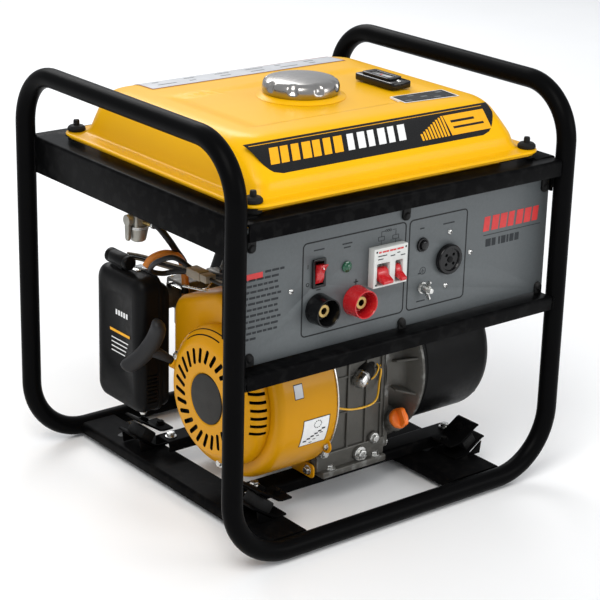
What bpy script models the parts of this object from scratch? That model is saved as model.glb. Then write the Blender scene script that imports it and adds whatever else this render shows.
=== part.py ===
"""Engine driven welder: an open tubular frame with a fuel tank on top, a control
panel at the front and a single-cylinder engine with its alternator below.

Metres, +Z up. X runs along the panel, Y from the panel to the back.
The origin is on the floor, under the middle of the frame.
"""
import math

import bmesh
import bpy
from mathutils import Matrix, Vector

# ---------------------------------------------------------------- driving dimensions
TUBE_R = 0.011            # frame tube, 22 mm outside
FRAME_X = 0.224           # tube axis, half width
FRAME_Y = 0.198           # tube axis, half depth
FRAME_TOP = 0.456         # tube axis of the top runs
FRAME_LOW = 0.012         # tube axis of the floor runs
BEND_TOP = 0.062          # bend radius on the tube axis
BEND_LOW = 0.072
FRAME_SEAM = 0.090        # height of the welds between hoops and skids
SHEET = 0.0025            # folded rails and plates
GAP = 0.0003              # clearance between touching pieces

RAIL_TOP = 0.380          # top of the rails that carry the tank
SIDE_RAIL_Z = 0.339
SIDE_RAIL_X = 0.219
FRONT_RAIL_Y = 0.205
FRONT_RAIL_Z = (0.361, 0.379)
LOWER_RAIL_Z = (0.205, 0.221)

PLATE_TOP = 0.020         # cross plates over the floor tubes
PLATE_X = ((-0.163, -0.116), (0.092, 0.164))
BED_X = (-0.132, 0.168)   # engine bed rails
BED_Z = (0.025, 0.0375)
BED_Y = ((-0.114, -0.084), (0.047, 0.077))

TANK_X = 0.200            # flange, half width
TANK_Y = (-0.188, 0.165)
TANK_FLANGE = 0.388       # joint between the tank's two pressings
TANK_CREST = 0.4405
TANK_FLOOR = 0.340
TANK_WALL = 0.0016
CAP = Vector((0.000, -0.010, 0.4465))
CAP_R = 0.0427

PANEL_Y = -0.184          # front face of the control panel
PANEL_X = 0.216
PANEL_Z = (0.222, 0.368)
PANEL_T = 0.0015

CRANK = Vector((0.0, -0.069, 0.1396))   # a point on the crankshaft axis, which runs along X
SHROUD_R = 0.0945
SHROUD_X = (-0.138, -0.061)
RECOIL_R = 0.0785
RECOIL_FACE = -0.1654
ALT_R = 0.0807
ALT_X = (0.0715, 0.1795)
CYLINDER_TILT = math.radians(25)

CLEANER_X = (-0.178, -0.142)
CLEANER_Y = (0.045, 0.126)
CLEANER_Z = (0.082, 0.242)

X_AXIS, Y_AXIS, Z_AXIS = Vector((1, 0, 0)), Vector((0, 1, 0)), Vector((0, 0, 1))

# ---------------------------------------------------------------- scene and materials
for old in list(bpy.data.objects):
    bpy.data.objects.remove(old, do_unlink=True)

parts = bpy.data.collections.new("engine_driven_welder")
cutters = bpy.data.collections.new("cutters")
for group in (parts, cutters):
    bpy.context.scene.collection.children.link(group)


def material(name, color, roughness, metallic=0.0):
    mat = bpy.data.materials.new(name)
    mat.use_nodes = True
    shader = mat.node_tree.nodes["Principled BSDF"]
    shader.inputs["Base Color"].default_value = (*color, 1)
    shader.inputs["Roughness"].default_value = roughness
    shader.inputs["Metallic"].default_value = metallic
    return mat


FRAME_BLACK = material("frame_black", (0.012, 0.012, 0.013), 0.38)
YELLOW = material("tank_yellow", (0.82, 0.50, 0.02), 0.22)
CHROME = material("chrome", (0.75, 0.73, 0.70), 0.12, 1.0)
ALUMINIUM = material("cast_aluminium", (0.36, 0.36, 0.35), 0.5, 0.9)
PANEL_GREY = material("panel_grey", (0.16, 0.18, 0.20), 0.42)
BLACK_PLASTIC = material("black_plastic", (0.02, 0.02, 0.02), 0.45)
RUBBER = material("rubber", (0.015, 0.015, 0.015), 0.8)
RED_PLASTIC = material("red_plastic", (0.55, 0.02, 0.02), 0.3)
GREY_PLASTIC = material("breaker_white", (0.62, 0.62, 0.60), 0.4)
GREEN_LENS = material("green_lens", (0.0, 0.16, 0.06), 0.15)
ORANGE = material("orange_plastic", (0.85, 0.18, 0.01), 0.4)
STEEL = material("steel", (0.45, 0.45, 0.44), 0.35, 1.0)
COPPER = material("windings", (0.45, 0.18, 0.06), 0.4, 0.8)


# ---------------------------------------------------------------- modelling helpers
def add(name, mesh, mat, cutter=False):
    """Link a mesh (or curve) as an object, in the parts or in the cutters."""
    obj = bpy.data.objects.new(name, mesh)
    if cutter:
        cutters.objects.link(obj)
        obj.hide_render = True
        obj.display_type = "WIRE"
    else:
        parts.objects.link(obj)
        mesh.materials.append(mat)
    return obj


def mesh_from(bm, name):
    bmesh.ops.recalc_face_normals(bm, faces=bm.faces)
    mesh = bpy.data.meshes.new(name)
    bm.to_mesh(mesh)
    bm.free()
    return mesh


def aim(direction):
    """Rotation that takes +Z to the given direction."""
    return Vector(direction).normalized().to_track_quat("Z", "Y").to_matrix().to_4x4()


def set_pivot(obj, pivot):
    """Move the origin of an object whose mesh is in world coordinates to its joint."""
    obj.data.transform(Matrix.Translation(-Vector(pivot)))
    obj.location = pivot


def bevel(obj, width, segments=2, angle=40):
    mod = obj.modifiers.new("edges", "BEVEL")
    mod.width = width
    mod.segments = segments
    mod.limit_method = "ANGLE"
    mod.angle_limit = math.radians(angle)
    return obj


def box(name, xs, ys, zs, mat=None, cutter=False, turn=None):
    """A block between the given bounds; turn rotates it about its own centre."""
    bm = bmesh.new()
    bmesh.ops.create_cube(bm, size=1)
    size = [hi - lo for lo, hi in (xs, ys, zs)]
    mid = [(hi + lo) / 2 for lo, hi in (xs, ys, zs)]
    bmesh.ops.scale(bm, vec=size, verts=bm.verts)
    spin = turn if turn is not None else Matrix.Identity(4)
    bmesh.ops.transform(bm, matrix=Matrix.Translation(mid) @ spin, verts=bm.verts)
    return add(name, mesh_from(bm, name), mat, cutter)


def rod(name, start, end, radius, mat=None, segments=20, cutter=False, tip=None):
    """A cylinder (or a cone, with a tip radius) between two points."""
    start, end = Vector(start), Vector(end)
    bm = bmesh.new()
    bmesh.ops.create_cone(bm, cap_ends=True, segments=segments, radius1=radius,
                          radius2=radius if tip is None else tip, depth=(end - start).length)
    place = Matrix.Translation((start + end) / 2) @ aim(end - start)
    bmesh.ops.transform(bm, matrix=place, verts=bm.verts)
    mesh = mesh_from(bm, name)
    mesh.shade_smooth()
    mesh.set_sharp_from_angle(angle=math.radians(35))
    return add(name, mesh, mat, cutter)


def turned(name, profile, origin, axis, mat=None, steps=24, cutter=False):
    """Turn a profile of (radius, height) points, top to bottom on the outside, about an axis."""
    mesh = bpy.data.meshes.new(name)
    points = [(radius, 0, height) for radius, height in profile]
    ring = profile[0][0] > 0
    edges = [(i, i + 1) for i in range(len(points) - 1)]
    if ring:
        edges.append((len(points) - 1, 0))
    mesh.from_pydata(points, edges, [])
    obj = add(name, mesh, mat, cutter)
    obj.matrix_world = Matrix.Translation(origin) @ aim(axis)
    screw = obj.modifiers.new("turn", "SCREW")
    screw.steps = screw.render_steps = steps
    screw.use_merge_vertices = True
    screw.merge_threshold = 0.00001
    screw.use_smooth_shade = True
    return obj


def prism(name, outline, x0, x1, mat=None, cutter=False):
    """Extrude a closed outline of (y, z) points along X."""
    bm = bmesh.new()
    ring = [bm.verts.new((x0, y, z)) for y, z in outline]
    face = bm.faces.new(ring)
    bmesh.ops.extrude_face_region(bm, geom=[face], use_keep_orig=True)
    far = [v for v in bm.verts if v not in ring]
    bmesh.ops.translate(bm, vec=(x1 - x0, 0, 0), verts=far)
    return add(name, mesh_from(bm, name), mat, cutter)


def boolean(obj, kind, *tools):
    for tool in tools:
        mod = obj.modifiers.new(tool.name, "BOOLEAN")
        mod.operation = kind
        mod.object = tool
        mod.solver = "EXACT"
    return obj


def cut(obj, *tools):
    return boolean(obj, "DIFFERENCE", *tools)


def fuse(obj, *tools):
    return boolean(obj, "UNION", *tools)


def arc(centre, radius, start, end, steps):
    """Points on an arc in a plane, from start to end degrees."""
    angles = [math.radians(start + (end - start) * i / steps) for i in range(steps + 1)]
    return [(centre[0] + radius * math.cos(a), centre[1] + radius * math.sin(a)) for a in angles]


def rounded_rectangle(x0, x1, y0, y1, radius, steps=4):
    corners = ((x1 - radius, y1 - radius, 0), (x0 + radius, y1 - radius, 90),
               (x0 + radius, y0 + radius, 180), (x1 - radius, y0 + radius, 270))
    points = []
    for cx, cy, start in corners:
        points += arc((cx, cy), radius, start, start + 90, steps)
    return points


def tube(name, path, radius, mat, sides=12):
    """A tube along a list of points, as a poly curve with filled caps."""
    curve = bpy.data.curves.new(name, "CURVE")
    curve.dimensions = "3D"
    curve.bevel_depth = radius
    curve.bevel_resolution = (sides - 4) // 2
    curve.use_fill_caps = True
    spline = curve.splines.new("POLY")
    spline.points.add(len(path) - 1)
    for point, place in zip(spline.points, path):
        point.co = (*place, 1)
    return add(name, curve, mat)


def bent(points, radius, steps=7):
    """A path of straight runs with rounded corners."""
    points = [Vector(p) for p in points]
    path = [points[0]]
    for before, corner, after in zip(points, points[1:], points[2:]):
        along, away = (corner - before).normalized(), (after - corner).normalized()
        half = along.angle(away) / 2
        reach = radius * math.tan(half)
        centre = corner + (away - along).normalized() * radius / math.cos(half)
        start = corner - along * reach - centre
        turn = along.cross(away)
        for i in range(steps + 1):
            path.append(centre + Matrix.Rotation(2 * half * i / steps, 3, turn) @ start)
    return path + [points[-1]]


def smooth_path(points, count):
    """A Catmull-Rom curve through the points, sampled evenly in its parameter."""
    pts = [Vector(p) for p in points]
    pts = [pts[0] * 2 - pts[1]] + pts + [pts[-1] * 2 - pts[-2]]
    path = []
    for i in range(count + 1):
        place = min(i * (len(pts) - 3) / count, len(pts) - 3 - 1e-9)
        k, t = int(place), place - int(place)
        a, b, c, d = pts[k:k + 4]
        path.append(0.5 * (2 * b + (c - a) * t + (2 * a - 5 * b + 4 * c - d) * t ** 2
                           + (3 * b - a - 3 * c + d) * t ** 3))
    return path


# ---------------------------------------------------------------- tubular frame
def build_frame():
    hoop_foot = FRAME_SEAM + GAP / 2
    for name, x in (("left_hoop", -FRAME_X), ("right_hoop", FRAME_X)):
        corners = [(x, -FRAME_Y, hoop_foot), (x, -FRAME_Y, FRAME_TOP),
                   (x, FRAME_Y, FRAME_TOP), (x, FRAME_Y, hoop_foot)]
        tube(name, bent(corners, BEND_TOP), TUBE_R, FRAME_BLACK)
    skid_top = FRAME_SEAM - GAP / 2
    for name, y in (("front_skid", -FRAME_Y), ("back_skid", FRAME_Y)):
        corners = [(-FRAME_X, y, skid_top), (-FRAME_X, y, FRAME_LOW),
                   (FRAME_X, y, FRAME_LOW), (FRAME_X, y, skid_top)]
        tube(name, bent(corners, BEND_LOW), TUBE_R, FRAME_BLACK)


def angle_rail(name, xs, ys, zs, leg_x, leg_y):
    """A folded rail: an upright face with a leg along its top edge."""
    leg = box(name + "_leg", leg_x, leg_y, (zs[1] - SHEET, zs[1]), cutter=True)
    fuse(box(name, xs, ys, zs, FRAME_BLACK), leg)


def build_rails():
    run = FRAME_Y - TUBE_R + 0.0006
    leg = 0.030
    for name, side in (("left_side_rail", -1), ("right_side_rail", 1)):
        face = sorted((side * SIDE_RAIL_X, side * (SIDE_RAIL_X - SHEET)))
        top = sorted((side * SIDE_RAIL_X, side * (SIDE_RAIL_X - leg)))
        angle_rail(name, face, (-run, run), (SIDE_RAIL_Z, RAIL_TOP), top, (-run, run))
    reach = FRAME_X - TUBE_R - GAP
    short = SIDE_RAIL_X - leg - GAP
    for name, side in (("front_upper_rail", -1), ("back_upper_rail", 1)):
        face = sorted((side * FRONT_RAIL_Y, side * (FRONT_RAIL_Y - SHEET)))
        top = sorted((side * FRONT_RAIL_Y, side * (FRONT_RAIL_Y - leg)))
        angle_rail(name, (-reach, reach), face, FRONT_RAIL_Z, (-short, short), top)
    face = (-FRONT_RAIL_Y, SHEET - FRONT_RAIL_Y)
    top = (-FRONT_RAIL_Y, leg - FRONT_RAIL_Y)
    angle_rail("front_lower_rail", (-reach, reach), face, LOWER_RAIL_Z, (-reach, reach), top)


def build_base():
    """Cross plates on rubber feet, and the bed rails that carry the engine on rubber mounts."""
    run = FRAME_Y - TUBE_R - GAP
    lip = 0.013
    for name, (x0, x1) in zip(("left_cross_plate", "right_cross_plate"), PLATE_X):
        plate = box(name, (x0, x1), (-run, run), (PLATE_TOP - lip, PLATE_TOP), FRAME_BLACK)
        hollow = box(name + "_hollow", (x0 + SHEET, x1 - SHEET), (-0.2, 0.2),
                     (0, PLATE_TOP - SHEET), cutter=True)
        cut(plate, hollow)
    foot_r, foot_y = 0.013, 0.160
    for side, (x0, x1) in zip(("left", "right"), PLATE_X):
        for end, y in (("front", -foot_y), ("back", foot_y)):
            middle = (x0 + x1) / 2
            rod(f"foot_{side}_{end}", (middle, y, 0), (middle, y, PLATE_TOP - SHEET - GAP),
                foot_r * 0.9, RUBBER, 16, tip=foot_r)
    for name, (y0, y1) in zip(("front_bed_rail", "rear_bed_rail"), BED_Y):
        web = box(name, BED_X, (y0, y1), BED_Z, FRAME_BLACK)
        hollow = box(name + "_hollow", (-0.2, 0.2), (y0 + SHEET, y1 - SHEET), (0, BED_Z[1] - SHEET),
                     cutter=True)
        cut(web, hollow)
    half_long, half_deep = 0.022, 0.017
    for side, x in (("left", -0.135), ("right", 0.150)):
        for end, y in (("front", BED_Y[0][0] - half_deep - GAP), ("back", BED_Y[1][1] + half_deep + GAP)):
            mount = box(f"engine_mount_{side}_{end}", (x - half_long, x + half_long),
                        (y - half_deep, y + half_deep), (PLATE_TOP + GAP, BED_Z[1] + 0.002), RUBBER)
            bevel(mount, 0.006, 2)


# ---------------------------------------------------------------- fuel tank
def lofted(name, rings, mat):
    """A skin through stacked rings of equal point count, closed at the last ring."""
    bm = bmesh.new()
    loops = [[bm.verts.new((x, y, z)) for x, y in outline] for outline, z in rings]
    for low, high in zip(loops, loops[1:]):
        count = len(low)
        for i in range(count):
            j = (i + 1) % count
            bm.faces.new((low[i], low[j], high[j], high[i]))
    bm.faces.new(loops[-1])
    mesh = mesh_from(bm, name)
    mesh.shade_smooth()
    mesh.set_sharp_from_angle(angle=math.radians(40))
    obj = add(name, mesh, mat)
    wall = obj.modifiers.new("wall", "SOLIDIFY")
    wall.thickness = TANK_WALL
    wall.offset = -1
    return obj


def build_tank():
    front, back = TANK_Y
    lip = TANK_FLANGE + GAP / 2 + TANK_WALL
    # left, right, front and back insets from the flange's outer edge, corner radius, height
    steps = ((0.000, 0.000, 0.000, 0.000, 0.022, lip),
             (0.014, 0.014, 0.013, 0.013, 0.018, lip + 0.0005),
             (0.020, 0.019, 0.0175, 0.018, 0.018, 0.3965),
             (0.0225, 0.021, 0.022, 0.021, 0.020, 0.404),
             (0.026, 0.0235, 0.036, 0.025, 0.022, 0.421),
             (0.030, 0.027, 0.0505, 0.030, 0.025, 0.4335),
             (0.037, 0.034, 0.058, 0.037, 0.025, 0.4385),
             (0.053, 0.050, 0.074, 0.053, 0.022, TANK_CREST))
    rings = []
    for left, right, near, far, radius, height in steps:
        outline = rounded_rectangle(-TANK_X + left, TANK_X - right, front + near, back - far, radius)
        rings.append((outline, height))
    shell = lofted("tank_shell", rings, YELLOW)
    neck_r, neck_top = 0.026, CAP.z + 0.0035
    neck = rod("neck_outside", (CAP.x, CAP.y, TANK_CREST - 0.010), (CAP.x, CAP.y, neck_top),
               neck_r, segments=24, cutter=True)
    bore = rod("neck_bore", (CAP.x, CAP.y, TANK_CREST - 0.020), (CAP.x, CAP.y, neck_top + 0.01),
               neck_r - 0.003, segments=24, cutter=True)
    sender = rod("sender_hole", (0.109, -0.020, TANK_CREST - 0.01), (0.109, -0.020, TANK_CREST + 0.01),
                 0.009, segments=16, cutter=True)
    cut(fuse(shell, neck), bore, sender)

    seam = TANK_FLANGE - GAP / 2
    low_steps = ((0.001, 0.022, seam), (0.025, 0.020, seam - 0.0005), (0.0275, 0.020, seam - 0.004),
                 (0.030, 0.025, TANK_FLOOR + 0.010), (0.033, 0.025, TANK_FLOOR + 0.003),
                 (0.040, 0.022, TANK_FLOOR))
    rings = []
    for inset, radius, height in low_steps:
        outline = rounded_rectangle(inset - TANK_X, TANK_X - inset, front + inset, back - inset, radius)
        rings.append((outline, height - TANK_WALL))
    pan = lofted("tank_pan", rings, YELLOW)
    outlet = rod("tap_hole", (TAP.x, TAP.y, TANK_FLOOR - 0.02), (TAP.x, TAP.y, TANK_FLOOR + 0.02),
                 0.0070, segments=12, cutter=True)
    cut(pan, outlet)


TAP = Vector((-0.150, 0.084, 0.294))      # middle of the fuel tap's body


def build_tank_fittings():
    # filler cap: a domed cup whose skirt goes over the neck
    inner = 0.0275
    profile = [(0, 0.0150), (0.020, 0.0143), (0.034, 0.0118), (0.0395, 0.0080), (CAP_R, 0.0030),
               (CAP_R, -0.0010), (0.0405, -0.0035), (inner, -0.0035), (inner, 0.0060), (0, 0.0060)]
    turned("fuel_cap", profile, CAP, Z_AXIS, CHROME, 24)

    gauge = box("fuel_gauge", (0.0945, 0.1235), (-0.053, 0.013), (TANK_CREST + GAP, 0.4515),
                BLACK_PLASTIC)
    window = box("gauge_window", (0.1045, 0.1135), (-0.036, -0.004), (0.4500, 0.46), cutter=True)
    cut(gauge, window)

    # fuel tap: threaded stem, body with a sediment bowl, and an outlet spigot
    stem = rod("fuel_tap_body", TAP + Z_AXIS * 0.006, (TAP.x, TAP.y, TANK_FLOOR + 0.004), 0.0062,
               ALUMINIUM, 16)
    nut = rod("tap_nut", (TAP.x, TAP.y, 0.312), (TAP.x, TAP.y, 0.322), 0.011, segments=6, cutter=True)
    body = box("tap_block", (TAP.x - 0.009, TAP.x + 0.010), (TAP.y - 0.009, TAP.y + 0.009),
               (TAP.z - 0.004, TAP.z + 0.014), cutter=True)
    bowl = rod("tap_bowl", TAP - Z_AXIS * 0.020, TAP - Z_AXIS * 0.002, 0.0090, segments=16,
               cutter=True, tip=0.0115)
    spigot = rod("tap_spigot", TAP + Vector((0.005, 0, 0.006)), TAP + Vector((0.022, -0.006, 0.006)),
                 0.0030, segments=12, cutter=True)
    fuse(stem, nut, body, bowl, spigot)

    pivot = TAP + Vector((-0.009 - GAP, 0, 0.006))
    boss = rod("fuel_tap_lever", pivot, pivot - X_AXIS * 0.007, 0.0065, ALUMINIUM, 16)
    handle = box("tap_lever_arm", (pivot.x - 0.0065, pivot.x - 0.0025),
                 (pivot.y - 0.0045, pivot.y + 0.0045), (pivot.z - 0.024, pivot.z), cutter=True)
    fuse(boss, handle)
    set_pivot(boss, pivot)

    start = TAP + Vector((0.0225, -0.0062, 0.006))
    end = CARB_INLET + Z_AXIS * GAP
    route = (start, start + Vector((0.010, -0.004, -0.003)), start + Vector((0.022, -0.006, -0.022)),
             end + Vector((0.001, 0.003, 0.030)), end + Z_AXIS * 0.010, end)
    tube("fuel_hose", smooth_path(route, 20), 0.0038, RUBBER, 8)


# ---------------------------------------------------------------- control panel
SWITCH = Vector((-0.1092, PANEL_Y, 0.3050))
LAMP = Vector((-0.0721, PANEL_Y, 0.3047))
BREAKER_X, BREAKER_Z = (-0.0425, 0.0040), (0.2760, 0.3195)
BREAKER_FACE = PANEL_Y - 0.0085
SOCKET_R = 0.0165
SOCKETS = (("weld_socket_negative", -0.1085, 0.2665, BLACK_PLASTIC),
           ("weld_socket_positive", -0.0590, 0.2655, RED_PLASTIC))
OUTLET = Vector((0.0685, PANEL_Y, 0.2872))
BUTTON = Vector((0.0313, PANEL_Y, 0.3095))
GROUND = Vector((0.0344, PANEL_Y, 0.2607))


def through_panel(name, centre, radius):
    """A round cutter through the panel's sheet."""
    deep = Vector((0, 0.01, 0))
    return rod(name, centre - deep, centre + deep, radius, segments=16, cutter=True)


def build_panel():
    panel = box("control_panel", (-PANEL_X, PANEL_X), (PANEL_Y, PANEL_Y + PANEL_T), PANEL_Z, PANEL_GREY)
    holes = [box("switch_hole", (SWITCH.x - 0.0062, SWITCH.x + 0.0062), (PANEL_Y - 0.01, PANEL_Y + 0.01),
                 (SWITCH.z - 0.0137, SWITCH.z + 0.0137), cutter=True),
             box("breaker_hole", BREAKER_X, (PANEL_Y - 0.01, PANEL_Y + 0.01), BREAKER_Z, cutter=True),
             through_panel("lamp_hole", LAMP, 0.0045),
             through_panel("outlet_hole", OUTLET, 0.0145),
             through_panel("button_hole", BUTTON, 0.0052),
             through_panel("ground_hole", GROUND, 0.0032)]
    holes += [through_panel(name + "_hole", Vector((x, PANEL_Y, z)), 0.0100)
              for name, x, z, _ in SOCKETS]
    cut(panel, *holes)

    # sheet steel box behind the panel, open to the front, with the inverter inside
    wall = 0.0012
    xs, ys, zs = (-0.190, 0.200), (PANEL_Y + PANEL_T + GAP, -0.130), (0.2335, 0.333)
    housing = box("control_box", xs, ys, zs, FRAME_BLACK)
    hollow = box("control_box_hollow", (xs[0] + wall, xs[1] - wall), (-0.2, ys[1] - wall),
                 (zs[0] + wall, zs[1] - wall), cutter=True)
    cut(housing, hollow)
    sink = box("inverter_module", (0.092, 0.186), (-0.170, -0.1325), (0.245, 0.322), ALUMINIUM)
    slots = [box(f"sink_slot_{i}", (0.100 + 0.012 * i, 0.107 + 0.012 * i), (-0.18, -0.142),
                 (0.24, 0.33), cutter=True) for i in range(7)]
    cut(sink, *slots)


def build_fittings():
    # rocker switch: a bezel through the panel and a rocker that tilts in it
    bezel = box("rocker_bezel", (SWITCH.x - 0.0085, SWITCH.x + 0.0085), (PANEL_Y - 0.0025, PANEL_Y - GAP),
                (SWITCH.z - 0.0155, SWITCH.z + 0.0155), BLACK_PLASTIC)
    body = box("rocker_body", (SWITCH.x - 0.0059, SWITCH.x + 0.0059), (PANEL_Y - 0.001, PANEL_Y + 0.018),
               (SWITCH.z - 0.0134, SWITCH.z + 0.0134), cutter=True)
    well = box("rocker_well", (SWITCH.x - 0.0052, SWITCH.x + 0.0052), (PANEL_Y - 0.01, PANEL_Y + 0.006),
               (SWITCH.z - 0.0125, SWITCH.z + 0.0125), cutter=True)
    cut(fuse(bezel, body), well)
    pivot = SWITCH + Y_AXIS * 0.0010
    # rest is the off position: the lower half is pressed in
    face = [(-0.0105, 0.0110), (-0.0052, 0.0035), (-0.0040, 0.0000), (-0.0042, -0.0045),
            (-0.0010, -0.0112), (0.0025, -0.0085), (0.0035, 0.0000), (0.0020, 0.0085)]
    outline = [(SWITCH.y + y, SWITCH.z + z) for y, z in face]
    rocker = prism("rocker_button", outline, SWITCH.x - 0.0049, SWITCH.x + 0.0049, RED_PLASTIC)
    set_pivot(rocker, pivot)

    turned("pilot_lamp", [(0, 0.0045), (0.0030, 0.0038), (0.0048, 0.0018), (0.0058, 0.0014),
                          (0.0058, GAP), (0.0042, GAP), (0.0042, -0.012), (0, -0.012)],
           LAMP, -Y_AXIS, GREEN_LENS, 20)

    # circuit breaker: its nose passes through the panel, with two toggles in slots
    breaker = box("breaker_body", (BREAKER_X[0] + GAP, BREAKER_X[1] - GAP), (BREAKER_FACE, -0.150),
                  (BREAKER_Z[0] + GAP, BREAKER_Z[1] - GAP), GREY_PLASTIC)
    toggles = (("breaker_main_toggle", -0.0290, 0.0075, 0.0086),
               ("breaker_aux_toggle", -0.0075, 0.0040, 0.0052))
    pivot_z = BREAKER_Z[0] + 0.0145
    for name, x, half, slot_half in toggles:
        slot = box(name + "_slot", (x - slot_half, x + slot_half),
                   (BREAKER_FACE - 0.005, BREAKER_FACE + 0.0135),
                   (pivot_z - 0.0120, pivot_z + 0.0120), cutter=True)
        cut(breaker, slot)
        pivot = Vector((x, BREAKER_FACE + 0.0060, pivot_z))
        hub = rod(name, pivot - X_AXIS * half, pivot + X_AXIS * half, 0.0065, RED_PLASTIC, 20)
        lever = prism(name + "_lever", [(pivot.y, pivot.z + 0.0040), (pivot.y - 0.0150, pivot.z - 0.0050),
                                        (pivot.y - 0.0150, pivot.z - 0.0085), (pivot.y, pivot.z - 0.0055)],
                      x - half, x + half, cutter=True)
        fuse(hub, lever)
        set_pivot(hub, pivot)

    # weld sockets: a moulded sleeve with a brass-lined bore, flange on the panel
    for name, x, z, mat in SOCKETS:
        profile = [(0.0035, 0.0100), (0.0070, 0.0100), (0.0070, 0.0030), (0.0125, 0.0030),
                   (0.0135, 0.0190), (0.0150, 0.0190), (SOCKET_R, 0.0165), (SOCKET_R, GAP),
                   (0.0090, GAP), (0.0090, -0.0140), (0.0035, -0.0140)]
        turned(name, profile, (x, PANEL_Y, z), -Y_AXIS, mat, 20)

    flange = turned("ac_outlet", [(0, 0.0042), (0.0118, 0.0042), (0.0128, 0.0062), (0.0155, 0.0062),
                                  (0.0168, 0.0045), (0.0168, GAP), (0.0138, GAP), (0.0138, -0.020),
                                  (0, -0.020)], OUTLET, -Y_AXIS, BLACK_PLASTIC, 20)
    for i, turn in enumerate((45, 135, 225, 315)):
        spot = OUTLET + Vector((math.cos(math.radians(turn)), 0, math.sin(math.radians(turn)))) * 0.0072
        cut(flange, rod(f"contact_{i}", spot - Y_AXIS * 0.010, spot + Y_AXIS * 0.008, 0.0019,
                        segments=10, cutter=True))

    turned("dc_breaker_button", [(0, 0.0050), (0.0042, 0.0048), (0.0048, 0.0040), (0.0048, -0.0100),
                                 (0, -0.0100)], BUTTON, -Y_AXIS, BLACK_PLASTIC, 16)

    # wing nut on the earth stud
    hub = rod("ground_wing_nut", GROUND - Y_AXIS * 0.0035, GROUND - Y_AXIS * 0.0100, 0.0052, STEEL, 16,
              tip=0.0040)
    for side in (-1, 1):
        wing = prism(f"wing_{side}", [(GROUND.y - 0.0060, GROUND.z + side * 0.002),
                                      (GROUND.y - 0.0100, GROUND.z + side * 0.0105),
                                      (GROUND.y - 0.0130, GROUND.z + side * 0.0100),
                                      (GROUND.y - 0.0098, GROUND.z + side * 0.002)],
                     GROUND.x - 0.0011, GROUND.x + 0.0011, cutter=True)
        fuse(hub, wing)
    bore = rod("wing_nut_bore", GROUND, GROUND - Y_AXIS * 0.02, 0.0031, segments=12, cutter=True)
    cut(hub, bore)
    set_pivot(hub, GROUND)


# ---------------------------------------------------------------- engine
# oil filler on the crankcase cover
FILLER = Vector((0.0500, -0.1370, 0.0880))
FILLER_AIM = Vector((-0.12, -0.80, 0.58)).normalized()
# middle of the carburettor and the top of its fuel inlet
CARB = Vector((-0.0900, 0.0740, 0.2040))
CARB_INLET = CARB + Vector((-0.0120, -0.0100, 0.0260))
# rope guide on the recoil housing and the direction that the rope is pulled in
GUIDE = Vector((-0.1525, 0.0140, 0.1545))
ROPE_AIM = Vector((-0.780, 0.350, 0.519)).normalized()


def shroud_outline(inset):
    """Round blower housing with a duct towards the cylinder, as (y, z) points."""
    radius = SHROUD_R - inset
    points = arc((CRANK.y, CRANK.z), radius, 112, 345, 22)
    points += [(0.036 - inset, 0.128)]
    points += arc((0.010, 0.202), 0.026 - inset, 0, 68, 4)
    points += arc((-0.048, 0.222), 0.026 - inset, 72, 110, 3)
    return points


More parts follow.
